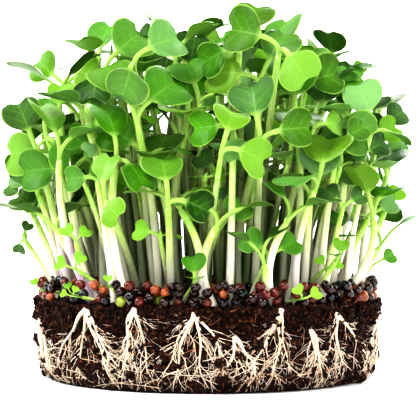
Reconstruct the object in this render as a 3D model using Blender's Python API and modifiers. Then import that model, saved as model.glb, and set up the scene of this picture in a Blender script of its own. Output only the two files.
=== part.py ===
# Microgreens on a root-bound plug of growing mix, in metres, +Z up.
# The origin is the centre of the plug's flat underside. The viewer of the front row stands at -Y.
import math
import random

import bmesh
import bpy
import numpy as np

# The plug of growing mix
PLUG_HEIGHT = 0.021
PLUG_RADIUS = 0.0455
PLUG_TAPER = 0.0010
CORNER_HEIGHT = 0.005
CORNER_CUT = 0.0025
EDGE_ROUNDING = 0.0015
SIDE_ROWS = (0.015, 0.010, 0.005, 0.002)
TOP_ROWS = (0.0, 0.45, 0.8)
LUMP_HEIGHT = 0.00055
PLUG_STEPS = 44
TOUCH_GAP = 0.0003

# Seedlings: a pair shares a place on the plug, leans together at the waist and parts again above it
STEM_RADIUS = 0.00115
STEM_TIP_SHARE = 0.78
STEM_DEPTH = 0.006
STEM_STEPS = 2
PAIR_FEET = 0.0046
WAIST_OVERLAP = 0.0014
WAIST_SHARE = (0.42, 0.56)
WAIST_REACH = 0.42
WAIST_STEP = 0.0001
FEET_RADIUS = PLUG_RADIUS - 0.0075
FOOT_LIMIT = PLUG_RADIUS - 0.0052
PAIR_COUNT = 26
PAIR_SPACING = 0.0068
PAIR_WISHES = 5
GOLDEN_ANGLE = math.radians(137.508)
SPIRAL_FEET = 43
SPIRAL_ROUNDS = 9
SKEW = 0.35

# How far a seedling may turn, tilt, move and shrink to clear the others
SETTLE_TRIES = 60
SETTLE_TURN = math.radians(90)
SETTLE_TILT = math.radians(26)
SETTLE_SHIFT = 0.004
SETTLE_SHRINK = 0.22

# The canopy: a dome that flares past the plug
CANOPY_TOP = 0.084
CANOPY_DROP = 0.012
CANOPY_FLARE = 0.15
CANOPY_RADIUS = 0.0570
CANOPY_HEIGHT = 0.0975
TALL_DROP = (-0.003, 0.007)
SHORT_DROP = (0.012, 0.034)
LEAST_LEAF_HEIGHT = PLUG_HEIGHT + 0.004

# Seed leaves: two heart-shaped blades on flat stalks, one strip across the top of the stem
STALK_LENGTH = 0.0048
STALK_HALF_WIDTH = 0.00105
STALK_START = 0.0002
BLADE_SHARE = 0.82
BLADE_THICKNESS = 0.00065
NOTCH_DEPTH = 0.24
LOBE_WIDTH = 0.5
WIDEST_AT = 0.6
FOLD_SLOPE = 0.26
BLADE_BEND = math.radians(46)
BLADE_ROWS = (1.0, 0.64, 0.26, 0.0)
SECOND_BLADE = 0.92
BLADE_GAP = 0.0028
STEM_GAP = 0.0027

# Roots on the side of the plug
FRONT_CROWNS = (-43, -23, -5, 24, 45)
OTHER_CROWNS = range(73, 300, 27)
CROWN_RADIUS = 0.0011
BRANCH_RADIUS = 0.0008
ROOT_TIP_RADIUS = 0.00042
ROOT_TOP = 0.0188
ROOT_FOOT = 0.0022
BRANCH_FOOT = 0.0038
ROOT_CLEARANCE = 0.00035
ROOT_STEP = 0.16
RING_RADIUS = 0.0006
RING_STEPS = 32

# Seed hulls in a chain round the rim
HULL_COUNT = 92
HULL_RADIUS = (0.0014, 0.0018)
HULL_NECK = 0.0008
HULL_RING = PLUG_RADIUS - 0.0010

# Pairs with a set place, in millimetres and degrees: the foot x, y, then for each of the two seedlings the
# apex x, y, z, the way its first blade points, that blade's rise, the other's rise, and the blade's width
FRONT_PAIRS = (
    ((-30, -25), (-38, -34, 60, 120, 60, 20, 12.6), (-43, -21, 43, 186, 28, 10, 12.0)),
    ((-36, 0), (-39, -10, 76, 178, 26, 44, 13.0), (-45, 4, 63, 100, 36, 16, 12.6)),
    ((-21, -32), (-23, -40, 55, 75, 58, -24, 13.6), (-31, -27, 69, 60, 48, 18, 12.6)),
    ((-20, -6), (-18, -12, 78, 80, 52, 18, 12.2), (-30, 0, 84, 85, 46, 12, 12.0)),
    ((-9, -29), (-5, -30, 67, 95, 70, 4, 12.6), (-13, -36, 54, 70, 48, 20, 10.6)),
    ((-1, -38), (-8, -41, 48, 186, 10, 12, 9.4), (4, -43, 43, 172, 12, 12, 10.2)),
    ((-10, 1), (-6, -5, 86, 150, 34, 26, 13.0), (-21, 9, 87, 170, 30, 20, 11.4)),
    ((7, -26), (5, -22, 71, 50, 48, 20, 12.4), (12, -37, 57, 165, 20, 24, 10.6)),
    ((20, -7), (16, -12, 81, 70, 48, 34, 13.0), (33, 0, 78, 170, 28, 24, 12.0)),
    ((21, -31), (22, -26, 69, 92, 64, -14, 13.4), (28, -38, 52, 84, 50, -4, 12.8)),
    ((31, -20), (36, -18, 67, 60, 52, 14, 12.8), (36, -30, 56, 140, 38, 22, 10.8)),
    ((35, -14), (43, -27, 45, 150, 40, 6, 11.0), (48, -14, 36, 170, 26, 30, 8.0)),
    ((36, -2), (46, 2, 69, 70, 30, 22, 11.4), (48, -7, 53, 80, 38, 20, 10.6)),
    ((14, -36), (12, -44, 34, 178, 38, 36, 7.4), (18, -42, 47, 20, 22, 24, 9.6)),
)
BACK_PAIRS = (
    ((4, 36), (4, 41, 70, 88, 22, 34, 12.8), (-8, 40, 56, 96, 16, 28, 12.2)),
)


def unit(x, y):
    """A level vector of length one."""
    size = math.hypot(x, y) or 1.0
    return np.array((x / size, y / size, 0.0))


def side_radius(z):
    """Radius of the plug's side at a height, before its lumps."""
    low = max(0.0, 1.0 - z / CORNER_HEIGHT)
    return PLUG_RADIUS - PLUG_TAPER * (1.0 - z / PLUG_HEIGHT) - CORNER_CUT * low * low


def stem_path(seedling, z):
    """Level place of the stem's centre at a height: a smooth bend through foot, waist and apex."""
    foot, waist, apex = seedling["foot"], seedling["waist"], seedling["apex"]
    a = (z - waist[2]) * (z - apex[2]) / ((foot[2] - waist[2]) * (foot[2] - apex[2]))
    b = (z - foot[2]) * (z - apex[2]) / ((waist[2] - foot[2]) * (waist[2] - apex[2]))
    c = (z - foot[2]) * (z - waist[2]) / ((apex[2] - foot[2]) * (apex[2] - waist[2]))
    place = foot * a + waist * b + apex * c
    place[2] = z
    return place


def blade_point(leaf, u, v):
    """A point of a blade: u runs from its stalk to the tip, v from edge to edge. A u under 0 is stalk."""
    if u < 0:
        along, across = STALK_LENGTH * (1.0 + u), v * STALK_HALF_WIDTH
    else:
        share = STALK_HALF_WIDTH * 2.6 / leaf["width"]
        if u < WIDEST_AT:
            share += (1.0 - share) * math.sin(math.pi / 2 * u / WIDEST_AT)
        else:
            past = (u - WIDEST_AT) / (1.0 - WIDEST_AT)
            share = LOBE_WIDTH + (1.0 - LOBE_WIDTH) * math.sqrt(1.0 - past * past)
        reach = u - u ** 3 * NOTCH_DEPTH * math.cos(math.pi / 2 * v) ** 2
        along = STALK_LENGTH + leaf["width"] * BLADE_SHARE * reach
        across = v * share * leaf["width"] / 2
    whole = STALK_LENGTH + leaf["width"] * BLADE_SHARE
    start = leaf["rise"] + BLADE_BEND / 2
    turn = -BLADE_BEND / whole
    angle = start + turn * along
    out = (math.sin(angle) - math.sin(start)) / turn
    up = (math.cos(start) - math.cos(angle)) / turn
    lift = FOLD_SLOPE * abs(across)
    ahead = unit(math.cos(leaf["way"]), math.sin(leaf["way"]))
    aside = np.array((-ahead[1], ahead[0], 0.0))
    middle = ahead * (out - lift * math.sin(angle)) + aside * across
    middle[2] = up + lift * math.cos(angle)
    return leaf["base"] + middle


def leaves_of(seedling):
    """The two blades of a seedling, nearly opposite each other."""
    base = seedling["apex"] - np.array((0.0, 0.0, STALK_START))
    rises = (seedling["rise"], seedling["other_rise"])
    ways = (seedling["way"], seedling["way"] + math.pi + seedling["skew"])
    widths = (seedling["width"], seedling["width"] * SECOND_BLADE)
    return [
        {"base": base, "rise": rise, "way": way, "width": width}
        for rise, way, width in zip(rises, ways, widths)
    ]


def blade_probe(seedling):
    """Points spread over both blades, for the clearance test."""
    spots = [(-0.6, 0.0), (-0.2, 0.0)]
    spots += [(u, v) for u in (0.15, 0.36, 0.57, 0.78, 1.0) for v in (-1.0, -0.5, 0.0, 0.5, 1.0)]
    return np.array([blade_point(leaf, u, v) for leaf in leaves_of(seedling) for u, v in spots])


def stem_probe(seedling):
    """Points up the stem, for the clearance test."""
    heights = np.arange(PLUG_HEIGHT, seedling["apex"][2], 0.002)
    return np.array([stem_path(seedling, z) for z in heights])


def apart(points, others, gap):
    """Whether two sets of points keep a gap to each other."""
    if not len(others):
        return True
    inside = (others > points.min(axis=0) - gap) & (others < points.max(axis=0) + gap)
    close = others[inside.all(axis=1)]
    if not len(close):
        return True
    return ((points[:, None, :] - close[None, :, :]) ** 2).sum(axis=2).min() > gap * gap


class Stand:
    """The seedlings placed so far, with the points that a new one has to clear."""

    def __init__(self):
        self.pairs = []
        self.blades = np.zeros((0, 3))
        self.stems = np.zeros((0, 3))

    def clear(self, seedling):
        blades, stems = blade_probe(seedling), stem_probe(seedling)
        return (
            blades[:, 2].min() > LEAST_LEAF_HEIGHT
            and blades[:, 2].max() < CANOPY_HEIGHT
            and np.hypot(blades[:, 0], blades[:, 1]).max() < CANOPY_RADIUS
            and apart(blades, self.blades, BLADE_GAP)
            and apart(blades, self.stems, STEM_GAP)
            and apart(stems, self.blades, STEM_GAP)
            and apart(stems, self.stems, STEM_GAP)
        )

    def add(self, pair):
        self.pairs.append(pair)
        for seedling in pair:
            self.blades = np.vstack([self.blades, blade_probe(seedling)])
            self.stems = np.vstack([self.stems, stem_probe(seedling)])


def seedling_at(foot, waist, apex, way, rise, other_rise, width, skew):
    return {
        "foot": np.array((foot[0], foot[1], PLUG_HEIGHT)),
        "waist": np.array(waist),
        "apex": np.array(apex),
        "way": way,
        "rise": rise,
        "other_rise": other_rise,
        "width": width,
        "skew": skew,
    }


def settle(stand, wanted, draw, partner):
    """The wanted seedling, turned, tilted and moved a little until it clears the others, or None."""
    partner_blades = np.vstack([blade_probe(seedling) for seedling in partner]) if partner else ()
    for turn in range(SETTLE_TRIES):
        ease = turn / SETTLE_TRIES
        seedling = dict(wanted)
        seedling["way"] = wanted["way"] + draw.uniform(-1, 1) * ease * SETTLE_TURN
        seedling["rise"] = wanted["rise"] + draw.uniform(-1, 1) * ease * SETTLE_TILT
        seedling["other_rise"] = wanted["other_rise"] + draw.uniform(-1, 1) * ease * SETTLE_TILT
        shift = np.array([draw.uniform(-1, 1) * ease * SETTLE_SHIFT for _ in range(3)])
        seedling["apex"] = wanted["apex"] + shift
        seedling["width"] = wanted["width"] * (1.0 - SETTLE_SHRINK * ease * draw.random())
        if stand.clear(seedling) and apart(blade_probe(seedling), partner_blades, BLADE_GAP / 2):
            return seedling
    return None


def waists(foot, side, apexes, draw):
    """Where the two stems of a pair touch, as two points side by side."""
    share = draw.uniform(*WAIST_SHARE)
    low = min(apex[2] for apex in apexes)
    height = PLUG_HEIGHT + share * (low - PLUG_HEIGHT)
    middle = np.mean([apex[:2] for apex in apexes], axis=0)
    place = foot + (middle - foot) * WAIST_REACH
    half = STEM_RADIUS - WAIST_OVERLAP / 2
    return [np.array((*(place + side[:2] * way * half), height)) for way in (-1, 1)]


def plan_pair(stand, foot, plans, draw):
    """The one or two seedlings of a pair that find room. Each plan is a wish for one seedling."""
    apexes = [plan["apex"] for plan in plans]
    side = unit(*(apexes[1] - apexes[0])[:2])
    pair = []
    for way, plan, waist in zip((-1, 1), plans, waists(foot, side, apexes, draw)):
        own_foot = foot + side[:2] * way * PAIR_FEET / 2
        own_foot = own_foot * min(1.0, FOOT_LIMIT / math.hypot(*own_foot))
        grown = settle(stand, seedling_at(own_foot, waist, **plan), draw, pair)
        if grown is not None:
            pair.append(grown)
    return pair


def set_rows(stand, pairs, draw):
    """Pairs that each stand in a place of their own."""
    for foot, *rows in pairs:
        plans = [
            {
                "apex": np.array(row[:3]) / 1000,
                "way": math.radians(row[3]),
                "rise": math.radians(row[4]),
                "other_rise": math.radians(row[5]),
                "width": row[6] / 1000,
                "skew": draw.uniform(-SKEW, SKEW),
            }
            for row in rows
        ]
        foot = np.array(foot) / 1000
        pair = max((plan_pair(stand, foot, plans, draw) for _ in range(PAIR_WISHES)), key=len)
        if pair:
            stand.add(pair)


def wild_plan(foot, height, draw):
    """A wish for one seedling of the rest of the stand, fanning out from the plug's axis."""
    reach = math.hypot(*foot) / FEET_RADIUS
    away = unit(*foot)[:2]
    apex = foot * (1.0 + CANOPY_FLARE * reach) + away * draw.uniform(-0.001, 0.004)
    apex = apex + np.array((draw.uniform(-1, 1), draw.uniform(-1, 1))) * 0.0045
    return {
        "apex": np.array((*apex, height - CANOPY_DROP * reach ** 2)),
        "way": draw.uniform(0, math.tau),
        "rise": math.radians(draw.uniform(8, 52)),
        "other_rise": math.radians(draw.uniform(0, 46)),
        "width": draw.uniform(0.0106, 0.0136),
        "skew": draw.uniform(-SKEW, SKEW),
    }


def rest_of_stand(stand, draw):
    """Further pairs on a spiral over the whole plug, until the wanted number stands."""
    for step in range(SPIRAL_FEET * SPIRAL_ROUNDS):
        radius = FEET_RADIUS * math.sqrt((step % SPIRAL_FEET + 0.5) / SPIRAL_FEET)
        angle = step * GOLDEN_ANGLE
        foot = radius * np.array((math.cos(angle), math.sin(angle)))
        feet = [np.mean([s["foot"][:2] for s in pair], axis=0) for pair in stand.pairs]
        crowded = min(math.hypot(*(foot - other)) for other in feet) < PAIR_SPACING
        if crowded or len(stand.pairs) == PAIR_COUNT:
            continue
        for _ in range(PAIR_WISHES):
            heights = [CANOPY_TOP - draw.uniform(*drop) for drop in (TALL_DROP, SHORT_DROP)]
            pair = plan_pair(stand, foot, [wild_plan(foot, height, draw) for height in heights], draw)
            if len(pair) == 2:
                stand.add(pair)
                break


def grow():
    """The whole stand of seedlings, the same each time."""
    draw = random.Random(11)
    stand = Stand()
    set_rows(stand, FRONT_PAIRS, draw)
    rest_of_stand(stand, draw)
    set_rows(stand, BACK_PAIRS, draw)
    return stand.pairs


def clear_scene():
    for old in list(bpy.data.objects):
        bpy.data.objects.remove(old, do_unlink=True)


def new_collection(name):
    made = bpy.data.collections.new(name)
    bpy.context.scene.collection.children.link(made)
    return made


def material(name, color, roughness):
    made = bpy.data.materials.new(name)
    made.use_nodes = True
    shader = made.node_tree.nodes["Principled BSDF"]
    shader.inputs["Base Color"].default_value = (*color, 1.0)
    shader.inputs["Roughness"].default_value = roughness
    shader.inputs["Metallic"].default_value = 0.0
    return made


def mesh_object(name, mesh, collection):
    made = bpy.data.objects.new(name, mesh)
    collection.objects.link(made)
    return made


def evaluated_copy(source):
    """A mesh of the object with its modifiers applied, in world space."""
    graph = bpy.context.evaluated_depsgraph_get()
    mesh = bpy.data.meshes.new_from_object(source.evaluated_get(graph))
    mesh.transform(source.matrix_world)
    return mesh


def tube(name, places, radii, collection, cyclic=False, level=False):
    """A four-sided tube along a line of points, as a closed mesh object. Its ends can be cut level."""
    curve = bpy.data.curves.new(name, "CURVE")
    curve.dimensions = "3D"
    curve.bevel_depth = 1.0
    curve.bevel_resolution = 0
    curve.use_fill_caps = not cyclic
    spline = curve.splines.new("POLY")
    spline.points.add(len(places) - 1)
    for point, place, radius in zip(spline.points, places, radii):
        point.co = (*place, 1.0)
        point.radius = radius
    spline.use_cyclic_u = cyclic
    wire = mesh_object(name + "_line", curve, collection)
    bpy.context.view_layer.update()
    mesh = evaluated_copy(wire)
    bpy.data.objects.remove(wire, do_unlink=True)
    shape = bmesh.new()
    shape.from_mesh(mesh)
    bmesh.ops.remove_doubles(shape, verts=shape.verts, dist=0.00001)
    bmesh.ops.recalc_face_normals(shape, faces=shape.faces)
    shape.to_mesh(mesh)
    shape.free()
    for place, radius in ((places[0], radii[0]), (places[-1], radii[-1])):
        for vert in mesh.vertices:
            if level and math.dist(vert.co, place) < radius * 1.1:
                vert.co.z = place[2]
    return mesh_object(name, mesh, collection)


def fuse(name, pieces, finish, home):
    """One body made of overlapping pieces, in their place."""
    base, rest = pieces[0], pieces[1:]
    if rest:
        joined = new_collection(name + "_pieces")
        for piece in rest:
            for old in list(piece.users_collection):
                old.objects.unlink(piece)
            joined.objects.link(piece)
        join = base.modifiers.new("join", "BOOLEAN")
        join.operation = "UNION"
        join.operand_type = "COLLECTION"
        join.collection = joined
    bpy.context.view_layer.update()
    mesh = evaluated_copy(base)
    for piece in pieces:
        bpy.data.objects.remove(piece, do_unlink=True)
    if rest:
        bpy.data.collections.remove(joined)
    mesh.name = name
    mesh.materials.clear()
    mesh.materials.append(finish)
    mesh.shade_smooth()
    mesh.set_sharp_from_angle(angle=math.radians(40))
    mesh_object(name, mesh, home)


def leaf_pair(name, seedling, collection):
    """Both blades of a seedling with their stalks: one folded, arched strip from tip to tip."""
    first, second = leaves_of(seedling)
    rows = len(BLADE_ROWS)
    shape = bmesh.new()
    bmesh.ops.create_grid(shape, x_segments=2, y_segments=2 * rows, size=1.0)
    for vert in shape.verts:
        side = vert.co.x
        row = round((vert.co.y + 1.0) * rows)
        if row < rows:
            vert.co = blade_point(first, BLADE_ROWS[row], side)
        elif row > rows:
            vert.co = blade_point(second, BLADE_ROWS[2 * rows - row], -side)
        else:
            vert.co = (blade_point(first, -1.0, side) + blade_point(second, -1.0, -side)) / 2
    bmesh.ops.triangulate(shape, faces=shape.faces)
    mesh = bpy.data.meshes.new(name)
    shape.to_mesh(mesh)
    shape.free()
    made = mesh_object(name, mesh, collection)
    skin = made.modifiers.new("thickness", "SOLIDIFY")
    skin.thickness = BLADE_THICKNESS
    skin.offset = 0.0
    return made


def stem_radius(seedling, z):
    share = (z - PLUG_HEIGHT) / (seedling["apex"][2] - PLUG_HEIGHT)
    return STEM_RADIUS * (1.0 - (1.0 - STEM_TIP_SHARE) * max(0.0, share))


def stem_piece(name, seedling, low, high, collection):
    """A stretch of a stem between two heights. A stretch that starts in the plug stands straight there."""
    heights = list(np.linspace(max(low, PLUG_HEIGHT), high, STEM_STEPS + 1))
    places = [stem_path(seedling, z) for z in heights]
    if low < PLUG_HEIGHT:
        sunk = places[0].copy()
        sunk[2] = low
        places.insert(0, sunk)
        heights.insert(0, low)
    radii = [stem_radius(seedling, z) for z in heights]
    return tube(name, places, radii, collection, level=True)


def plant(number, pair, finishes, home, scrap):
    """A pair's pale stems and its green tops, parted at the waist by a touching gap."""
    foot = PLUG_HEIGHT - STEM_DEPTH
    stems, tops = [], []
    for order, seedling in enumerate(pair):
        waist, apex = seedling["waist"][2], seedling["apex"][2]
        half_gap = TOUCH_GAP / 2 + WAIST_STEP * order
        stems.append(stem_piece("stem", seedling, foot, waist - half_gap, scrap))
        tops.append(stem_piece("top", seedling, waist + half_gap, apex, scrap))
        tops.append(leaf_pair("leaf_pair", seedling, scrap))
    fuse(f"stems_{number:02d}", stems, finishes["stems"], home)
    fuse(f"leaves_{number:02d}", tops, finishes["leaves"], home)


def lump(angle, z):
    """Height of the growing mix's lumps on the side and top."""
    return LUMP_HEIGHT * (math.sin(9 * angle + 420 * z) * 0.6 + math.sin(17 * angle - 610 * z) * 0.4)


def plug_profile():
    """Half outline of the plug, from the top's middle down its outer side to the middle underneath."""
    outline = [(PLUG_RADIUS * share, PLUG_HEIGHT) for share in TOP_ROWS]
    outline.append((PLUG_RADIUS - EDGE_ROUNDING, PLUG_HEIGHT))
    outline += [(side_radius(z), z) for z in (PLUG_HEIGHT - EDGE_ROUNDING, *SIDE_ROWS, 0.0)]
    outline.append((0.0, 0.0))
    return outline


def raise_lumps(mesh):
    """Lumps on the plug's top and side. Its underside stays flat."""
    small = 0.0001
    for vert in mesh.vertices:
        place = vert.co
        radius = math.hypot(place.x, place.y)
        angle = math.atan2(place.y, place.x)
        if place.z > PLUG_HEIGHT - small:
            place.z += lump(angle, radius) * min(1.0, radius / (PLUG_RADIUS / 4)) - LUMP_HEIGHT
        elif place.z > small:
            scale = (radius + lump(angle, place.z)) / radius
            place.x *= scale
            place.y *= scale


def stem_hole(seedling, collection):
    """A cutter for the plain hole that a stem stands in."""
    low = PLUG_HEIGHT - STEM_DEPTH - TOUCH_GAP
    high = PLUG_HEIGHT + STEM_DEPTH / 2
    bpy.ops.mesh.primitive_cylinder_add(
        vertices=6,
        radius=(STEM_RADIUS + TOUCH_GAP) / math.cos(math.pi / 6),
        depth=high - low,
        location=(seedling["foot"][0], seedling["foot"][1], (low + high) / 2),
    )
    cutter = bpy.context.object
    cutter.name = "stem_hole"
    for old in list(cutter.users_collection):
        old.objects.unlink(cutter)
    collection.objects.link(cutter)


def soil_plug(pairs, finish, home, scrap):
    """The plug: a turned body with lumps, and a plain hole for each stem."""
    mesh = bpy.data.meshes.new("plug_outline")
    outline = plug_profile()
    edges = [(row, row + 1) for row in range(len(outline) - 1)]
    mesh.from_pydata([(radius, 0.0, z) for radius, z in outline], edges, [])
    turned = mesh_object("turned", mesh, scrap)
    screw = turned.modifiers.new("turn", "SCREW")
    screw.steps = screw.render_steps = PLUG_STEPS
    screw.use_merge_vertices = True
    screw.merge_threshold = 0.00005
    bpy.context.view_layer.update()
    body = mesh_object("body", evaluated_copy(turned), scrap)
    bpy.data.objects.remove(turned, do_unlink=True)
    raise_lumps(body.data)
    holes = new_collection("stem_holes")
    for pair in pairs:
        for seedling in pair:
            stem_hole(seedling, holes)
    cut = body.modifiers.new("holes", "BOOLEAN")
    cut.operation = "DIFFERENCE"
    cut.operand_type = "COLLECTION"
    cut.collection = holes
    fuse("soil_plug", [body], finish, home)
    for cutter in list(holes.objects):
        bpy.data.objects.remove(cutter, do_unlink=True)
    bpy.data.collections.remove(holes)


def on_side(angle, z, thickness):
    """A point just off the plug's side, for the middle of a root of that radius."""
    radius = side_radius(z) + LUMP_HEIGHT + ROOT_CLEARANCE + thickness
    return np.array((radius * math.cos(angle), radius * math.sin(angle), z))


def root(start, end, thick, thin, collection):
    """A root down the side from one (angle, height) to another."""
    steps = max(2, math.ceil(abs(end[0] - start[0]) / ROOT_STEP) + 1)
    places, radii = [], []
    for step in range(steps + 1):
        t = step / steps
        radius = thick + (thin - thick) * t
        angle = start[0] + (end[0] - start[0]) * t * (1.3 - 0.3 * t)
        places.append(on_side(angle, start[1] + (end[1] - start[1]) * t, radius))
        radii.append(radius)
    return tube("root", places, radii, collection)


def root_web(finish, home, scrap):
    """Fans of roots from crowns under the rim, tied by one that circles the plug's foot."""
    draw = random.Random(5)
    angles = [math.tau * step / RING_STEPS for step in range(RING_STEPS)]
    ring = [on_side(angle, ROOT_FOOT + 0.0005 * math.sin(5 * angle), RING_RADIUS) for angle in angles]
    pieces = [tube("ring", ring, [RING_RADIUS] * RING_STEPS, scrap, cyclic=True)]
    for crown in (*FRONT_CROWNS, *OTHER_CROWNS):
        angle = math.radians(crown - 90) + draw.uniform(-0.03, 0.03)
        lean = draw.uniform(-0.07, 0.07)
        top = (angle, ROOT_TOP - draw.uniform(0.0, 0.003))
        pieces.append(root(top, (angle + lean, ROOT_FOOT), CROWN_RADIUS, RING_RADIUS, scrap))
        for way in (-1, 1):
            end = (angle + way * draw.uniform(0.17, 0.25), BRANCH_FOOT)
            pieces.append(root((angle, top[1] - 0.001), end, BRANCH_RADIUS, ROOT_TIP_RADIUS, scrap))
        share = draw.uniform(0.35, 0.55)
        start = (angle + lean * share, top[1] + (ROOT_FOOT - top[1]) * share)
        end = (start[0] + draw.choice((-1, 1)) * draw.uniform(0.08, 0.12), BRANCH_FOOT)
        pieces.append(root(start, end, RING_RADIUS, ROOT_TIP_RADIUS, scrap))
    fuse("root_web", pieces, finish, home)


def seed_hulls(finish, home, scrap):
    """Seed hulls in a chain round the rim, each pressed against the next."""
    draw = random.Random(3)
    places, radii = [], []
    for step in range(2 * HULL_COUNT):
        angle = math.tau * step / (2 * HULL_COUNT)
        hull = step % 2 == 0
        radius = draw.uniform(*HULL_RADIUS) if hull else HULL_NECK
        ring = HULL_RING + draw.uniform(-0.0002, 0.0002)
        height = PLUG_HEIGHT + HULL_RADIUS[1] + TOUCH_GAP + draw.uniform(0.0, 0.0004)
        places.append((ring * math.cos(angle), ring * math.sin(angle), height))
        radii.append(radius)
    fuse("seed_hulls", [tube("hulls", places, radii, scrap, cyclic=True)], finish, home)


def main():
    clear_scene()
    home = new_collection("microgreens")
    scrap = new_collection("pieces_in_work")
    finishes = {
        "soil": material("soil", (0.045, 0.022, 0.012), 0.9),
        "roots": material("roots", (0.82, 0.74, 0.62), 0.55),
        "stems": material("stems", (0.83, 0.84, 0.66), 0.4),
        "leaves": material("leaves", (0.13, 0.33, 0.05), 0.45),
        "hulls": material("seed_hulls", (0.11, 0.035, 0.02), 0.35),
    }
    pairs = grow()
    for number, pair in enumerate(pairs, 1):
        plant(number, pair, finishes, home, scrap)
    soil_plug(pairs, finishes["soil"], home, scrap)
    root_web(finishes["roots"], home, scrap)
    seed_hulls(finishes["hulls"], home, scrap)
    bpy.data.collections.remove(scrap)


main()
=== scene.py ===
# Radish microgreens on a root-bound plug of growing mix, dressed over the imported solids
import math
import random

import bmesh
import bpy
import numpy as np
from mathutils import Euler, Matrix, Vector, noise
from mathutils.bvhtree import BVHTree


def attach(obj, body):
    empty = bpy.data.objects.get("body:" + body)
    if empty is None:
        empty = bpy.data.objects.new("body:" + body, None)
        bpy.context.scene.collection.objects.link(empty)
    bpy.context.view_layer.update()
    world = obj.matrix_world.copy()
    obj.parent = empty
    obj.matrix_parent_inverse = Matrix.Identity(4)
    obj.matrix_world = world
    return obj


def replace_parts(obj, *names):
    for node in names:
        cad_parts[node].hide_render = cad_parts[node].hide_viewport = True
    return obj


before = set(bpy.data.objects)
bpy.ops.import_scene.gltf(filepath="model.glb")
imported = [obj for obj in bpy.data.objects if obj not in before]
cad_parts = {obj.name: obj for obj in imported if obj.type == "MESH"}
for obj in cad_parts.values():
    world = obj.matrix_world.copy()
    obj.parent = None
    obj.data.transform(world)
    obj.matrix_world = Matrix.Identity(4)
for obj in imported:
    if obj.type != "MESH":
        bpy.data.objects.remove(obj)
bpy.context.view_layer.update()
print("solids loaded:", len(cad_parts), "nodes")

mm = 0.001


def limit(value, low=0.0, high=1.0):
    return min(high, max(low, value))


def onRing(radius, angle, z):
    return np.array((radius * math.cos(angle), radius * math.sin(angle), z))


# Colours and nodes

def colour(hexValue):
    parts = [int(hexValue[place:place + 2], 16) / 255 for place in (0, 2, 4)]
    linear = [part / 12.92 if part <= 0.04045 else ((part + 0.055) / 1.055) ** 2.4 for part in parts]
    return (*linear, 1.0)


def addNode(tree, kind, settings):  # a value that is a socket is linked; "stops" fills a colour ramp
    node = tree.nodes.new(kind)
    for name, value in settings.items():
        if name == "stops":
            while len(node.color_ramp.elements) < len(value):
                node.color_ramp.elements.new(0.5)
            for element, (place, shade) in zip(node.color_ramp.elements, value):
                element.position, element.color = place, shade
        elif isinstance(value, bpy.types.NodeSocket):
            tree.links.new(value, node.inputs[name])
        elif isinstance(name, int) or name in node.inputs:
            node.inputs[name].default_value = value
        else:
            setattr(node, name, value)
    return node


def calculate(tree, operation, *parts, clamp=False):
    settings = {"operation": operation, "use_clamp": clamp} | dict(enumerate(parts))
    return addNode(tree, "ShaderNodeMath", settings).outputs[0]


def remap(tree, *parts, kind="LINEAR"):  # the source, its two ends and what they become
    settings = {"interpolation_type": kind} | dict(enumerate(parts))
    return addNode(tree, "ShaderNodeMapRange", settings).outputs[0]


def tinted(tree, share, under, over):  # a colour laid over another
    settings = {"data_type": "RGBA", 0: share, 6: under, 7: colour(over)}
    return addNode(tree, "ShaderNodeMix", settings).outputs[2]


def texture(tree, kind, grain, **settings):  # laid in the piece's own space, with a grain in metres
    spot = addNode(tree, "ShaderNodeTexCoord", {})
    return addNode(tree, kind, {"Scale": 1 / grain, "Vector": spot.outputs["Object"]} | settings).outputs


def tonesOf(tree):  # the three numbers that the points of a leaf, stem or root carry
    tone = addNode(tree, "ShaderNodeVertexColor", {"layer_name": "tone"})
    return addNode(tree, "ShaderNodeSeparateColor", {0: tone.outputs[0]}).outputs


def bumpOf(tree, strength, distance, height):
    settings = {"Strength": strength, "Distance": distance, "Height": height}
    return addNode(tree, "ShaderNodeBump", settings).outputs[0]


def newMaterial(name):
    made = bpy.data.materials.new(name)
    made.use_nodes = True
    made.node_tree.nodes.clear()
    return made, made.node_tree


def addCoat(tree, settings):
    shader = addNode(tree, "ShaderNodeBsdfPrincipled", settings)
    addNode(tree, "ShaderNodeOutputMaterial", {"Surface": shader.outputs[0]})


def plainMaterial(name, shade, roughness):
    made, tree = newMaterial(name)
    addCoat(tree, {"Base Color": colour(shade), "Roughness": roughness})
    return made


# The plug and the stand as the solids have them, in metres and degrees
plug = {
    "height": 0.021,
    "radius": 0.0455,
    "taper": 0.0010,
    "cornerHeight": 0.005,
    "cornerCut": 0.0025,
}
stem = {
    "radius": 0.00115,
    "tipShare": 0.78,
    "pairFeet": 0.0046,
    "waistOverlap": 0.0014,
    "waistShare": (0.42, 0.56),
    "waistReach": 0.42,
    "feetRadius": plug["radius"] - 0.0075,
    "footLimit": plug["radius"] - 0.0052,
}
stand = {
    "seed": 11,
    "pairs": 26,
    "spacing": 0.0068,
    "wishes": 5,
    "goldenAngle": math.radians(137.508),
    "spiralFeet": 43,
    "spiralRounds": 9,
    "skew": 0.35,
    "tries": 60,
    "turn": math.radians(90),
    "tilt": math.radians(26),
    "shift": 0.004,
    "shrink": 0.22,
    "top": 0.084,
    "drop": 0.012,
    "flare": 0.15,
    "reach": 0.0570,
    "front": -0.0550,
    "back": 0.0560,
    "ceiling": 0.0975,
    "tallDrop": (-0.003, 0.007),
    "shortDrop": (0.012, 0.034),
    "leastLeaf": plug["height"] + 0.004,
    "bladeGap": 0.0028,
    "stemGap": 0.0027,
}
leafForm = {
    "stalkLength": 0.0048,
    "stalkHalf": 0.00105,
    "stalkStart": 0.0002,
    "lengthShare": 0.82,
    "notch": 0.24,
    "lobe": 0.5,
    "widestAt": 0.6,
    "fold": 0.26,
    "bend": math.radians(46),
    "second": 0.92,
}
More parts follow.
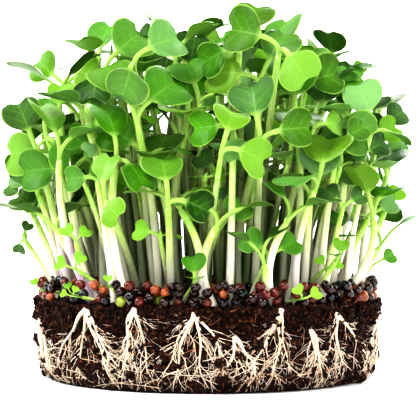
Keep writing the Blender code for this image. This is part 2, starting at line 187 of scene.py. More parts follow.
# Foot x and y of a pair, then apex x, y and z, way, rise, other rise and width of both its seedlings, in mm
# and degrees
frontPairs = (
    ((-30, -25), (-38, -34, 60, 120, 60, 20, 12.6), (-43, -21, 43, 186, 28, 10, 12.0)),
    ((-36, 0), (-39, -10, 76, 178, 26, 44, 13.0), (-45, 4, 63, 100, 36, 16, 12.6)),
    ((-21, -32), (-23, -40, 55, 75, 58, -24, 13.6), (-31, -27, 69, 60, 48, 18, 12.6)),
    ((-20, -6), (-18, -12, 78, 80, 52, 18, 12.2), (-30, 0, 84, 85, 46, 12, 12.0)),
    ((-9, -29), (-5, -30, 67, 95, 70, 4, 12.6), (-13, -36, 54, 70, 48, 20, 10.6)),
    ((-1, -38), (-8, -41, 48, 186, 10, 12, 9.4), (4, -43, 43, 172, 12, 12, 10.2)),
    ((-10, 1), (-6, -5, 86, 150, 34, 26, 13.0), (-21, 9, 87, 170, 30, 20, 11.4)),
    ((7, -26), (5, -22, 71, 50, 48, 20, 12.4), (12, -37, 57, 165, 20, 24, 10.6)),
    ((20, -7), (16, -12, 81, 70, 48, 34, 13.0), (33, 0, 78, 170, 28, 24, 12.0)),
    ((21, -31), (22, -26, 69, 92, 64, -14, 13.4), (28, -38, 52, 84, 50, -4, 12.8)),
    ((31, -20), (36, -18, 67, 60, 52, 14, 12.8), (36, -30, 56, 140, 38, 22, 10.8)),
    ((35, -14), (43, -27, 45, 150, 40, 6, 11.0), (48, -14, 36, 170, 26, 30, 8.0)),
    ((36, -2), (46, 2, 69, 70, 30, 22, 11.4), (48, -7, 53, 80, 38, 20, 10.6)),
    ((14, -36), (12, -44, 34, 178, 38, 36, 7.4), (18, -42, 47, 20, 22, 24, 9.6)),
)
backPairs = (
    ((4, 36), (4, 41, 70, 88, 22, 34, 12.8), (-8, 40, 56, 96, 16, 28, 12.2)),
)


def unit(x, y):
    size = math.hypot(x, y) or 1.0
    return np.array((x / size, y / size, 0.0))


def sideRadius(z):
    low = max(0.0, 1.0 - z / plug["cornerHeight"])
    return plug["radius"] - plug["taper"] * (1.0 - z / plug["height"]) - plug["cornerCut"] * low * low


def stemPath(seedling, z):  # a smooth bend through foot, waist and apex, at one or many heights
    foot, waist, apex = seedling["foot"], seedling["waist"], seedling["apex"]
    z = np.asarray(z, dtype=float)
    a = (z - waist[2]) * (z - apex[2]) / ((foot[2] - waist[2]) * (foot[2] - apex[2]))
    b = (z - foot[2]) * (z - apex[2]) / ((waist[2] - foot[2]) * (waist[2] - apex[2]))
    c = (z - foot[2]) * (z - waist[2]) / ((apex[2] - foot[2]) * (apex[2] - waist[2]))
    place = a[..., None] * foot + b[..., None] * waist + c[..., None] * apex
    place[..., 2] = z
    return place


def stalkOf(leaf):
    return leaf.get("stalk", leafForm["stalkLength"])


def onArch(leaf, along, across, lift):  # a point of the leaf's arch, from lengths along and across it
    whole = stalkOf(leaf) + leaf["width"] * leafForm["lengthShare"]
    turn = -leafForm["bend"] / whole
    angle = leafForm["bend"] / 2 + turn * along
    out = (np.sin(angle) - math.sin(leafForm["bend"] / 2)) / turn - lift * np.sin(angle)
    up = (math.cos(leafForm["bend"] / 2) - np.cos(angle)) / turn + lift * np.cos(angle)
    side = np.cross(leaf["normal"], leaf["axis"])
    parts = (out, leaf["axis"]), (up, leaf["normal"]), (np.asarray(across), side)
    return leaf["base"] + sum(np.broadcast_to(size, up.shape)[..., None] * way for size, way in parts)


def bladePoint(leaf, u, v):  # the solids' own blade, used here to find who has room
    full = leaf["width"]
    narrow = leafForm["stalkHalf"] * 2.6 / full
    rising = narrow + (1.0 - narrow) * np.sin(math.pi / 2 * u / leafForm["widestAt"])
    past = np.clip((u - leafForm["widestAt"]) / (1.0 - leafForm["widestAt"]), 0, 1)
    falling = leafForm["lobe"] + (1.0 - leafForm["lobe"]) * np.sqrt(1.0 - past * past)
    half = np.where(u < leafForm["widestAt"], rising, falling) * full / 2
    reach = u - u ** 3 * leafForm["notch"] * np.cos(math.pi / 2 * v) ** 2
    stalk = stalkOf(leaf)
    along = np.where(u < 0, stalk * (1.0 + u), stalk + full * leafForm["lengthShare"] * reach)
    across = v * np.where(u < 0, leafForm["stalkHalf"], half)
    return onArch(leaf, along, across, leafForm["fold"] * np.abs(across))


def leafAt(base, way, rise, width):
    ahead, up = unit(math.cos(way), math.sin(way)), np.array((0.0, 0.0, 1.0))
    axis = ahead * math.cos(rise) + up * math.sin(rise)
    normal = up * math.cos(rise) - ahead * math.sin(rise)
    return {"base": base, "axis": axis, "normal": normal, "width": width}


def leavesOf(seedling):
    if "leaves" in seedling:
        return seedling["leaves"]
    base = seedling["apex"] - np.array((0.0, 0.0, leafForm["stalkStart"]))
    way, width = seedling["way"], seedling["width"]
    first = leafAt(base, way, seedling["rise"], width)
    second = leafAt(base, way + math.pi + seedling["skew"], seedling["otherRise"], width * leafForm["second"])
    return [first, second]


probeSpots = [(-0.6, 0.0), (-0.2, 0.0)]
probeSpots += [(u, v) for u in (0.15, 0.36, 0.57, 0.78, 1.0) for v in (-1.0, -0.5, 0.0, 0.5, 1.0)]
probeU, probeV = np.array(probeSpots).T


def bladeProbe(seedling):
    return np.vstack([bladePoint(leaf, probeU, probeV) for leaf in leavesOf(seedling)])


def stemProbe(seedling):
    return stemPath(seedling, np.arange(plug["height"], seedling["apex"][2], 0.002))


def apart(points, others, gap):  # whether two sets of points keep a gap to each other
    if not len(others):
        return True
    inside = (others > points.min(axis=0) - gap) & (others < points.max(axis=0) + gap)
    close = others[inside.all(axis=1)]
    if not len(close):
        return True
    return ((points[:, None, :] - close[None, :, :]) ** 2).sum(axis=2).min() > gap * gap


class Room:  # the seedlings placed so far, with the points that a new one has to clear
    def __init__(self):
        self.pairs = []
        self.blades = np.zeros((0, 3))
        self.stems = np.zeros((0, 3))

    def clear(self, seedling):
        blades, stems = bladeProbe(seedling), stemProbe(seedling)
        bladeGap, stemGap = stand["bladeGap"], stand["stemGap"]
        return (
            blades[:, 2].min() > stand["leastLeaf"]
            and blades[:, 2].max() < stand["ceiling"]
            and np.hypot(blades[:, 0], blades[:, 1]).max() < stand["reach"]
            and apart(blades, self.blades, bladeGap)
            and apart(blades, self.stems, stemGap)
            and apart(stems, self.blades, stemGap)
            and apart(stems, self.stems, stemGap)
        )

    def add(self, pair):
        self.pairs.append(pair)
        for seedling in pair:
            self.blades = np.vstack([self.blades, bladeProbe(seedling)])
            self.stems = np.vstack([self.stems, stemProbe(seedling)])


def settle(room, wanted, draw, partner):  # turned, tilted and moved a little until it clears the others
    partnerBlades = np.vstack([bladeProbe(seedling) for seedling in partner]) if partner else ()
    for turn in range(stand["tries"]):
        ease = turn / stand["tries"]
        seedling = dict(wanted)
        seedling["way"] = wanted["way"] + draw.uniform(-1, 1) * ease * stand["turn"]
        seedling["rise"] = wanted["rise"] + draw.uniform(-1, 1) * ease * stand["tilt"]
        seedling["otherRise"] = wanted["otherRise"] + draw.uniform(-1, 1) * ease * stand["tilt"]
        shift = np.array([draw.uniform(-1, 1) * ease * stand["shift"] for _ in range(3)])
        seedling["apex"] = wanted["apex"] + shift
        seedling["width"] = wanted["width"] * (1.0 - stand["shrink"] * ease * draw.random())
        if room.clear(seedling) and apart(bladeProbe(seedling), partnerBlades, stand["bladeGap"] / 2):
            return seedling
    return None


def planPair(room, foot, plans, draw):
    apexes = [plan["apex"] for plan in plans]
    side = unit(*(apexes[1] - apexes[0])[:2])
    height = plug["height"] + draw.uniform(*stem["waistShare"]) * (min(a[2] for a in apexes) - plug["height"])
    place = foot + (np.mean([a[:2] for a in apexes], axis=0) - foot) * stem["waistReach"]
    half = stem["radius"] - stem["waistOverlap"] / 2
    pair = []
    for way, plan in zip((-1, 1), plans):
        ownFoot = foot + side[:2] * way * stem["pairFeet"] / 2
        ownFoot = ownFoot * min(1.0, stem["footLimit"] / math.hypot(*ownFoot))
        wanted = dict(plan)
        wanted["foot"] = np.array((*ownFoot, plug["height"]))
        wanted["waist"] = np.array((*(place + side[:2] * way * half), height))
        grown = settle(room, wanted, draw, pair)
        if grown is not None:
            pair.append(grown)
    return pair


def setRows(room, pairs, draw):
    for foot, *rows in pairs:
        plans = [
            {
                "apex": np.array(row[:3]) / 1000,
                "way": math.radians(row[3]),
                "rise": math.radians(row[4]),
                "otherRise": math.radians(row[5]),
                "width": row[6] / 1000,
                "skew": draw.uniform(-stand["skew"], stand["skew"]),
            }
            for row in rows
        ]
        foot = np.array(foot) / 1000
        pair = max((planPair(room, foot, plans, draw) for _ in range(stand["wishes"])), key=len)
        if pair:
            room.add(pair)


def wildPlan(foot, height, draw):
    reach = math.hypot(*foot) / stem["feetRadius"]
    away = unit(*foot)[:2]
    apex = foot * (1.0 + stand["flare"] * reach) + away * draw.uniform(-0.001, 0.004)
    apex = apex + np.array((draw.uniform(-1, 1), draw.uniform(-1, 1))) * 0.0045
    return {
        "apex": np.array((*apex, height - stand["drop"] * reach ** 2)),
        "way": draw.uniform(0, math.tau),
        "rise": math.radians(draw.uniform(8, 52)),
        "otherRise": math.radians(draw.uniform(0, 46)),
        "width": draw.uniform(0.0106, 0.0136),
        "skew": draw.uniform(-stand["skew"], stand["skew"]),
    }


def restOfStand(room, draw):
    for step in range(stand["spiralFeet"] * stand["spiralRounds"]):
        radius = stem["feetRadius"] * math.sqrt((step % stand["spiralFeet"] + 0.5) / stand["spiralFeet"])
        angle = step * stand["goldenAngle"]
        foot = radius * np.array((math.cos(angle), math.sin(angle)))
        feet = [np.mean([s["foot"][:2] for s in pair], axis=0) for pair in room.pairs]
        crowded = min(math.hypot(*(foot - other)) for other in feet) < stand["spacing"]
        if crowded or len(room.pairs) == stand["pairs"]:
            continue
        for _ in range(stand["wishes"]):
            heights = [stand["top"] - draw.uniform(*drop) for drop in (stand["tallDrop"], stand["shortDrop"])]
            pair = planPair(room, foot, [wildPlan(foot, height, draw) for height in heights], draw)
            if len(pair) == 2:
                room.add(pair)
                break


room = Room()
standDraw = random.Random(stand["seed"])
setRows(room, frontPairs, standDraw)
restOfStand(room, standDraw)
setRows(room, backPairs, standDraw)
cadPairs = room.pairs
cadSeedlings = [seedling for pair in cadPairs for seedling in pair]
print("seedlings of the solids:", len(cadSeedlings))


def gridFaces(rows, columns, closed=False):  # quads of a grid of points, row by row
    across = np.arange(columns if closed else columns - 1)
    row, column = np.meshgrid(np.arange(rows - 1) * columns, across, indexing="ij")
    after = (column + 1) % columns
    corners = (row + column, row + after, row + columns + after, row + columns + column)
    return np.stack(corners, axis=-1).reshape(-1, 4)


coarse = {
    "along": (-1.0, -0.5, 0.0, 0.2, 0.4, 0.6, 0.8, 1.0),
    "across": (-1.0, -0.5, 0.0, 0.5, 1.0),
    "rings": 7,
    "sides": 6,
    "belowApex": 0.0012,
}
coarseU, coarseV = np.meshgrid(coarse["along"], coarse["across"], indexing="ij")
coarseTurn = np.arange(coarse["sides"]) * math.tau / coarse["sides"]


def coarseMesh(seedling, radius):  # a few faces for each leaf and the stem
    points = [bladePoint(leaf, coarseU, coarseV).reshape(-1, 3) for leaf in leavesOf(seedling)]
    heights = np.linspace(plug["height"], seedling["apex"][2] - coarse["belowApex"], coarse["rings"])
    ring = np.stack([np.cos(coarseTurn), np.sin(coarseTurn), 0.0 * coarseTurn], axis=-1) * radius
    stemPoints = (stemPath(seedling, heights)[:, None, :] + ring[None, :, :]).reshape(-1, 3)
    blade, count = gridFaces(*coarseU.shape), coarseU.size
    tube = gridFaces(coarse["rings"], coarse["sides"], closed=True)
    faces = np.vstack([blade, blade + count, tube + 2 * count])
    return np.vstack([*points, stemPoints]), faces


class Packed:  # all that stands so far, which a new seedling may touch but not cut
    def __init__(self):
        self.trees, self.lows, self.highs = [], np.zeros((0, 3)), np.zeros((0, 3))

    def add(self, seedling, radius):
        points, faces = coarseMesh(seedling, radius)
        self.keep(BVHTree.FromPolygons(points.tolist(), faces.tolist()), points)

    def keep(self, tree, points):
        self.trees.append(tree)
        self.lows = np.vstack([self.lows, points.min(axis=0)])
        self.highs = np.vstack([self.highs, points.max(axis=0)])

    def fits(self, seedling, radius, least):
        points, faces = coarseMesh(seedling, radius)
        blades = points[:2 * coarseU.size]
        if blades[:, 2].min() < least or blades[:, 2].max() > stand["ceiling"]:
            return False
        if np.hypot(blades[:, 0], blades[:, 1]).max() > stand["reach"]:
            return False
        if blades[:, 1].max() > stand["back"] or blades[:, 1].min() < stand["front"]:
            return False
        tree = BVHTree.FromPolygons(points.tolist(), faces.tolist())
        near = (self.lows < points.max(axis=0)) & (self.highs > points.min(axis=0))
        if any(tree.overlap(self.trees[place]) for place in np.flatnonzero(near.all(axis=1))):
            return False
        self.keep(tree, points)
        return True


packed = Packed()
for seedling in cadSeedlings:
    packed.add(seedling, stem["radius"])


# Camera at the photograph's place: level with the waist of the stand, a short step in front of it
view = {"distance": 0.400, "height": 0.045, "lens": 128.0, "sensor": 36.0}
cameraData = bpy.data.cameras.new("camera")
cameraData.lens = view["lens"]
cameraData.sensor_width = view["sensor"]
cameraData.clip_start = 0.01
camera = bpy.data.objects.new("camera", cameraData)
camera.location = (0.0, -view["distance"], view["height"])
camera.rotation_euler = (math.pi / 2, 0.0, 0.0)
bpy.context.scene.collection.objects.link(camera)
bpy.context.scene.camera = camera


# Front leaves of the photograph that the solids leave out. Each row: the leaf's middle across and up, as the
# front view shows it in mm at the stand's middle, its width, the lean and pitch of its tip in degrees, its
# depth in mm, its tone, and last, where its partner on the same stem shows its face too, that one's lean
seenLeaves = (
    (-44, 83, 13.0, -20, 12, -6, "fresh"), (-30, 89, 10.3, 45, 10, -6, "fresh", -30),
    (-21, 90, 7.0, -60, 40, 0, "dark"), (-32, 83, 7.3, 65, -30, -12, "bright"),
    (-30, 76, 11.3, -35, 8, -24, "bluish"), (-40, 76, 7.0, 5, 10, -20, "bright"),
    (-50, 70, 10.8, -25, 10, -22, "dark"), (-47, 68, 13.2, -12, 10, -30, "waxy"),
    (-38, 69, 6.5, 10, 10, -24, "dark"), (-36, 64, 8.1, -55, 8, -30, "fresh"),
    (-32, 61, 4.3, -130, -40, -34, "waxy"), (-24, 65, 11.9, -55, 8, -36, "fresh"),
    (-28, 69, 7.0, -60, 10, -26, "bright"), (-36, 77, 4.9, -60, 20, -16, "waxy"),
    (-22, 76, 6.5, -20, 20, -14, "waxy"), (-8, 93, 13.5, -35, 10, -4, "bluish"),
    (-4, 88, 9.7, 5, -30, -8, "dark"), (-5, 82, 11.6, -12, 12, -26, "fresh"),
    (-14, 82, 7.0, -60, 20, -6, "bluish"), (2, 81, 7.0, 70, 20, -8, "bluish"),
    (9, 78, 9.7, -55, 12, -22, "waxy"), (1, 74, 6.5, 60, 10, -26, "bright"),
    (-7, 76, 5.9, 0, 20, -14, "bluish"), (-6, 72, 5.9, -80, 25, -28, "fresh"),
    (-3, 67, 4.9, 60, 10, -28, "fresh"), (6, 66, 7.6, -10, 10, -20, "fresh"),
    (14, 64, 10.3, 40, 10, -28, "bluish"), (3, 62, 4.9, -20, 50, -28, "waxy"),
    (18, 88, 13.0, 0, 12, -8, "bright"), (16, 77, 6.5, 15, 10, -14, "fresh"),
    (12, 71, 7.0, -80, 45, -14, "dark"), (23, 68, 12.4, 0, 12, -30, "bright"),
    (-14, 85, 8.1, -40, 20, 6, "bluish"), (-11, 58, 7.6, 60, 15, -38, "bright", -60),
    (5, 90, 7.0, -30, 20, 10, "fresh", 60), (1, 86, 6.5, 60, 40, 6, "dark"),
    (13, 84, 7.0, -20, -30, 4, "dark"), (23, 80, 11.9, 5, 12, -24, "waxy"),
    (29, 84, 8.1, -25, 10, -10, "fresh"), (27, 87, 6.5, 0, 10, -2, "bright"),
    (33, 86, 4.9, 60, 30, 0, "fresh"), (38, 81, 7.6, 10, 10, -8, "fresh"),
    (41, 83, 4.3, 50, 20, 0, "fresh"), (42, 75, 10.8, -15, 12, -22, "waxy"),
    (35, 78, 5.9, -35, 30, -16, "waxy"), (36, 71, 9.2, -30, 10, -18, "dark"),
    (52, 74, 5.4, 70, 15, -6, "bright", -20), (51, 70, 7.0, 60, 15, -8, "dark"),
    (49, 66, 8.1, 62, 12, -18, "bright"), (46, 62, 7.6, 60, 20, -16, "dark"),
    (41, 59, 5.4, -40, 40, -20, "waxy"), (34, 68, 7.6, 80, 40, -24, "bright"),
    (35, 63, 7.0, -15, 10, -26, "dark"), (30, 58, 11.9, 20, 12, -34, "bluish"),
    (53, 57, 7.6, 70, 20, -4, "bluish"), (40, 51, 9.2, 60, 15, -28, "bluish"),
    (48, 56, 7.6, 20, 15, -10, "bright"), (33, 49, 5.9, -50, 20, -30, "dark", 60),
    (42, 46, 7.0, -10, 20, -26, "dark"), (49, 46, 6.5, 60, 20, -20, "bluish"),
    (51, 49, 4.9, 40, 15, -12, "bright"), (35, 42, 6.5, 0, 12, -22, "dark"),
    (36, 35, 4.3, 10, 10, -34, "bright"), (51, 37, 5.9, 80, 20, -12, "fresh", -60),
    (49, 32, 4.6, 70, 20, -10, "fresh"), (-36, 53, 7.0, -100, 10, -38, "fresh"),
    (-30, 55, 5.4, 60, 20, -32, "fresh"), (-24, 52, 8.1, -70, 12, -34, "fresh"),
    (-50, 47, 9.7, -60, 10, -14, "dark", 70), (-51, 34, 3.5, -170, 15, -10, "dark", 30),
    (-12, 60, 7.0, 60, 20, -34, "fresh"), (-11, 51, 6.5, -70, 25, -38, "fresh", 60),
    (-2, 45, 9.7, -40, 12, -43, "fresh", 45), (3, 49, 5.4, 0, 10, -34, "dark"),
    (17, 56, 8.6, 70, 12, -36, "fresh"), (8, 57, 7.0, -55, 30, -34, "bluish"),
    (-1, 58, 6.5, -45, 15, -32, "dark"), (3, 54, 4.3, 80, 20, -34, "fresh"),
    (12, 36, 7.6, -55, 12, -43, "fresh", 65), (-4, 30, 6.2, -10, 12, -43, "fresh"),
    (-18, 39, 5.4, -80, 10, -40, "bright"), (-38, 39, 3.8, -40, 10, -30, "bright", 45),
    (-40, 30, 3.8, -70, 10, -32, "bright", 40), (-28, 41, 3.2, 0, 10, -22, "bright"),
    (-47, 25, 2.2, -20, 10, -12, "lime"), (-38, 24, 2.2, -20, 10, -30, "lime"),
    (-39, 22, 2.4, -60, 10, -32, "lime", 20), (-27, 26, 2.4, 0, 10, -38, "lime"),
    (29, 22, 3.5, 60, 10, -40, "lime", -30), (35, 30, 3.2, 60, 10, -33, "lime", -40),
    (27, 53, 4.9, -10, 10, -18, "dark"), (-51, 53, 6.5, -60, 20, -10, "bluish"),
    (-48, 56, 6.5, -30, 20, -10, "dark"), (-52, 61, 5.4, -70, 30, -6, "bluish"),
    (-53, 50, 4.9, -60, 20, -4, "dark"), (-43, 53, 5.4, -130, 60, -20, "waxy"),
    (51, 62, 6.5, 70, 15, 0, "bluish"), (44, 69, 5.9, 20, 10, -4, "dark"),
    (-18, 68, 7.0, 10, 15, -20, "fresh"), (-16, 74, 7.0, -30, 15, -12, "dark"),
    (-1, 63, 7.0, 20, 15, -14, "dark"), (28, 66, 5.9, 30, 15, -14, "dark"),
    (10, 69, 5.9, 10, 15, -8, "dark"),
)
leafTones = {  # how fresh, how bluish with wax and how sunlit
    "fresh": (0.62, 0.10, 0.10),
    "bright": (0.85, 0.0, 0.50),
    "dark": (0.10, 0.12, 0.0),
    "bluish": (0.35, 0.60, 0.0),
    "waxy": (0.75, 0.80, 0.0),
    "lime": (0.95, 0.0, 0.75),
}
seen = {
    "seed": 31,
    "tries": 48,
    "turn": 16,
    "depths": 12.0,
    "stalkShare": 0.36,
    "depthShares": (-0.35, 1.0),
    "middleShare": 0.40,
    "otherWay": 0.7,
    "otherPitch": 30,
    "stem": 0.0009,
    "least": plug["height"] + 0.0008,
}


def facingLeaf(lean, pitch, width, tone, turned):  # a leaf whose upper face looks at the viewer in front
    lean, pitch = math.radians(lean), math.radians(pitch)
    axis = np.array((math.sin(lean) * math.cos(pitch), math.sin(pitch), math.cos(lean) * math.cos(pitch)))
    look = np.array((math.sin(math.radians(turned)), -math.cos(math.radians(turned)), 0.25))
    normal = look - axis * np.dot(look, axis)
    normal /= np.linalg.norm(normal)
    stalk = seen["stalkShare"] * width + 0.0006
    return {"base": np.zeros(3), "axis": axis, "normal": normal, "width": width, "stalk": stalk, "tone": tone}


growth = {
    "footReach": 0.0405,
    "flare": 0.80,
    "footStray": 1.8 * mm,
    "waistLean": 0.38,
    "waistStray": 0.6 * mm,
}


def stray(draw, size):
    return np.array((draw.gauss(0, 1), draw.gauss(0, 1))) * size


def growTo(apex, draw, flare=growth["flare"]):  # a stem that leads to an apex, from a foot on the mix
    foot = apex[:2] * flare + stray(draw, growth["footStray"])
    foot = foot * min(1.0, growth["footReach"] / math.hypot(*foot))
    middle = foot + (apex[:2] - foot) * growth["waistLean"] + stray(draw, growth["waistStray"])
    height = plug["height"] + 0.5 * (apex[2] - plug["height"])
    return {"foot": np.array((*foot, plug["height"])), "waist": np.array((*middle, height)), "apex": apex}


def seenSeedling(row, ease, draw):
    across, up, width, lean, pitch, depth, tone, *partner = row
    depth = depth + draw.uniform(*seen["depthShares"]) * ease * seen["depths"]
    width = width * (1.06 - 0.20 * ease)
    closer = 1.0 + depth * mm / view["distance"]
    turns = [draw.uniform(-1, 1) * seen["turn"] * (0.4 + ease) for _ in range(4)]
    tones = tuple(limit(part + draw.uniform(-0.1, 0.1)) for part in leafTones[tone])
    leaf = facingLeaf(lean + turns[0] * 0.5, pitch + turns[1], width * mm * closer, tones, turns[2])
    height = view["height"] + (up * mm - view["height"]) * closer
    middle = np.array((across * mm * closer, depth * mm, height))
    base = middle - onArch(leaf, leaf["stalk"] + leaf["width"] * seen["middleShare"], 0.0, 0.0)
    if not partner:
        way = math.atan2(leaf["axis"][1], leaf["axis"][0]) + math.pi
        way += draw.uniform(-seen["otherWay"], seen["otherWay"])
        pitch = math.radians(draw.uniform(-seen["otherPitch"], seen["otherPitch"]))
        other = leafAt(base, way, pitch, leaf["width"] * 0.8)
        other["stalk"] = leaf["stalk"]
    else:
        other = facingLeaf(partner[0] + turns[3] * 0.5, pitch, leaf["width"] * 0.92, tones, turns[3])
    leaf["base"] = other["base"] = base
    seedling = growTo(base + np.array((0.0, 0.0, leafForm["stalkStart"])), draw)
    seedling["leaves"] = [leaf, other]
    return seedling


def placeSeen(draw):
    found = []
    for row in seenLeaves:
        for turn in range(seen["tries"]):
            ease = turn / seen["tries"]
            seedling = seenSeedling(row, ease, draw)
            if seedling["apex"][2] < plug["height"] + 0.002:
                continue
            if packed.fits(seedling, seen["stem"] * min(1.0, 0.3 + 0.07 * row[2]), seen["least"]):
                found.append(seedling)
                break
    return found


# More seedlings between those of the solids: gaps in the shell of leaves are looked for from eight sides,
# and each new seedling spreads its leaves in front of one of them, facing outwards
filler = {
    "seed": 23,
    "ways": 8,
    "frontShare": 0.34,
    "cell": 0.0024,
    "near": 0.012,
    "least": 0.0405,
    "lowestApex": 0.030,
    "rounds": 6500,
    "wanted": 330,
    "tries": 5,
    "stem": 0.00085,
    "shell": 0.0500,
    "domeFrom": 0.062,
    "domeRise": 0.040,
    "inwards": (0.3, 1.0),
    "inwardsPower": 0.6,
    "around": 0.25,
    "lean": 115,
    "between": (80, 170),
    "second": (0.8, 0.95),
    "droop": 26,
    "pitch": 14,
    "turn": 18,
    "flare": (0.55, 0.86),
    "across": (-0.049, 0.0491),
    "edge": 0.050,
    "below": 0.008,
    "bottom": 0.046,
    "top": 0.0945,
    "shoulder": 0.024,
    "widths": (0.0098, 0.0136),
}


class Gaps:  # which cells of the stand's outline have a leaf in the near half, from each side
    def __init__(self):
        self.ways = [-math.pi / 2 + math.tau * way / filler["ways"] for way in range(filler["ways"])]
        self.across = np.arange(*filler["across"], filler["cell"])
        self.up = np.arange(filler["bottom"] - filler["below"], filler["top"], filler["cell"])
        edge = np.abs(self.across)[:, None] / filler["edge"]
        self.wanted = self.up[None, :] < filler["top"] - filler["shoulder"] * edge ** 2.2
        self.wanted &= self.up[None, :] > filler["bottom"] - filler["below"] * edge ** 2
        self.counts = np.zeros((filler["ways"], *self.wanted.shape), dtype=int)

    def add(self, seedling):
        u, v = np.meshgrid(np.linspace(0.05, 0.92, 7), np.linspace(-0.9, 0.9, 7), indexing="ij")
        for leaf in leavesOf(seedling):
            points = bladePoint(leaf, u, v).reshape(-1, 3)
            for number, way in enumerate(self.ways):
                near = points[points[:, 0] * math.cos(way) + points[:, 1] * math.sin(way) > filler["near"]]
                across = near[:, 1] * math.cos(way) - near[:, 0] * math.sin(way)
                columns = np.rint((across - self.across[0]) / filler["cell"]).astype(int)
                rows = np.rint((near[:, 2] - self.up[0]) / filler["cell"]).astype(int)
                inside = (columns >= 0) & (columns < len(self.across)) & (rows >= 0) & (rows < len(self.up))
                cells = np.unique(np.stack([columns[inside], rows[inside]], axis=1), axis=0)
                self.counts[number][cells[:, 0], cells[:, 1]] += 1

    def open(self, number, layers):
        return np.argwhere(self.wanted & (self.counts[number] < layers))

    def closed(self):
        return [round(float((self.counts[n] > 0)[self.wanted].mean()), 2) for n in range(filler["ways"])]


def turnedRound(leaf, angle):
    cos, sin = math.cos(angle), math.sin(angle)
    turn = np.array(((cos, -sin, 0), (sin, cos, 0), (0, 0, 1)))
    leaf["axis"], leaf["normal"] = turn @ leaf["axis"], turn @ leaf["normal"]
    return leaf


def fillerPlan(way, across, up, width, draw):
    dome = max(0.0, up - filler["domeFrom"]) / filler["domeRise"]
    shell = filler["shell"] * math.sqrt(max(0.05, 1.0 - dome ** 2))
    inwards = draw.uniform(*filler["inwards"]) ** filler["inwardsPower"]
    outward = math.sqrt(max(0.0, shell ** 2 - across ** 2)) * inwards
    around = way + draw.uniform(-filler["around"], filler["around"])
    cos, sin = math.cos(way), math.sin(way)
    middle = np.array((outward * cos - across * sin, outward * sin + across * cos, up))
    lean = draw.uniform(-filler["lean"], filler["lean"])
    other = lean + draw.choice((-1, 1)) * draw.uniform(*filler["between"])
    leaves = []
    for turn, size in ((lean, 1.0), (other, draw.uniform(*filler["second"]))):
        pitch = filler["droop"] * math.cos(math.radians(turn))
        pitch += draw.uniform(-filler["pitch"], filler["pitch"])
        leaf = facingLeaf(turn, pitch, width * size, None, draw.uniform(-filler["turn"], filler["turn"]))
        leaves.append(turnedRound(leaf, around + math.pi / 2))
    base = middle - onArch(leaves[0], leaves[0]["stalk"] + width * seen["middleShare"], 0.0, 0.0)
    leaves[0]["base"] = leaves[1]["base"] = base
    leaves[1]["stalk"] = leaves[0]["stalk"]
    apex = base + np.array((0.0, 0.0, leafForm["stalkStart"]))
    seedling = growTo(apex, draw, draw.uniform(*filler["flare"]))
    seedling["leaves"] = leaves
    return seedling


def fillStand(draw):
    found, gaps = [], Gaps()
    for seedling in cadSeedlings + seenSeedlings:
        gaps.add(seedling)
    for step in range(filler["rounds"]):
        late = step / filler["rounds"]
        number = 0 if draw.random() < filler["frontShare"] else draw.randrange(filler["ways"])
        cells = gaps.open(number, 1 if late < 0.5 else 2)
        if not len(cells):
            continue
        cell = cells[draw.randrange(len(cells))]
        across, up = gaps.across[cell[0]], gaps.up[cell[1]]
        width = draw.uniform(*filler["widths"]) * (1.0 - 0.5 * late * draw.random())
        width = min(width, 2.4 * (stand["ceiling"] - up))
        for _ in range(filler["tries"]):
            seedling = fillerPlan(gaps.ways[number], across, up, width, draw)
            if seedling["apex"][2] < filler["lowestApex"]:
                continue
            if packed.fits(seedling, filler["stem"], filler["least"]):
                found.append(seedling)
                gaps.add(seedling)
                break
        if len(found) == filler["wanted"]:
            break
    print("share of the canopy closed, from each side:", gaps.closed())
    return found


seenSeedlings = placeSeen(random.Random(seen["seed"]))
print("front leaves placed:", len(seenSeedlings), "of", len(seenLeaves))
fillers = fillStand(random.Random(filler["seed"]))
print("seedlings between them:", len(fillers))
everyone = cadSeedlings + seenSeedlings + fillers


# Mesh helpers

class Heap:  # many small shapes gathered into one mesh
    def __init__(self):
        self.points, self.faces, self.slots, self.uvs, self.tones, self.count = [], [], [], [], [], 0

    def add(self, points, faces, uvs=None, tone=None):  # faces: one array of triangles or quads a material
        self.points.append(points)
        self.faces += [block + self.count for block in faces]
        self.slots += [np.full(len(block), slot) for slot, block in enumerate(faces)]
        self.count += len(points)
        if uvs is not None:
            self.uvs.append(uvs)
        if tone is not None:
            self.tones.append(np.tile((*tone, 1.0), (len(points), 1)))

    def mesh(self, name, uvName="run"):
        mesh = bpy.data.meshes.new(name)
        corners = np.concatenate([block.ravel() for block in self.faces])
        sizes = np.concatenate([np.full(len(block), block.shape[1]) for block in self.faces])
        mesh.vertices.add(self.count)
        mesh.vertices.foreach_set("co", np.vstack(self.points).astype(np.float32).ravel())
        mesh.loops.add(len(corners))
        mesh.loops.foreach_set("vertex_index", corners.astype(np.int32))
        mesh.polygons.add(len(sizes))
        mesh.polygons.foreach_set("loop_start", (np.cumsum(sizes) - sizes).astype(np.int32))
        mesh.polygons.foreach_set("material_index", np.concatenate(self.slots).astype(np.int32))
        mesh.update(calc_edges=True)
        if self.uvs:
            layer = mesh.uv_layers.new(name=uvName)
            layer.data.foreach_set("uv", np.vstack(self.uvs)[corners].astype(np.float32).ravel())
        if self.tones:
            layer = mesh.color_attributes.new(name="tone", type="FLOAT_COLOR", domain="POINT")
            layer.data.foreach_set("color", np.vstack(self.tones).astype(np.float32).ravel())
        mesh.shade_smooth()
        return mesh


def addPiece(name, mesh, materials):
    piece = bpy.data.objects.new(name, mesh)
    bpy.context.scene.collection.objects.link(piece)
    for item in materials:
        mesh.materials.append(item)
    return piece


def rideSlot(piece):
    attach(piece, "root")
    return piece


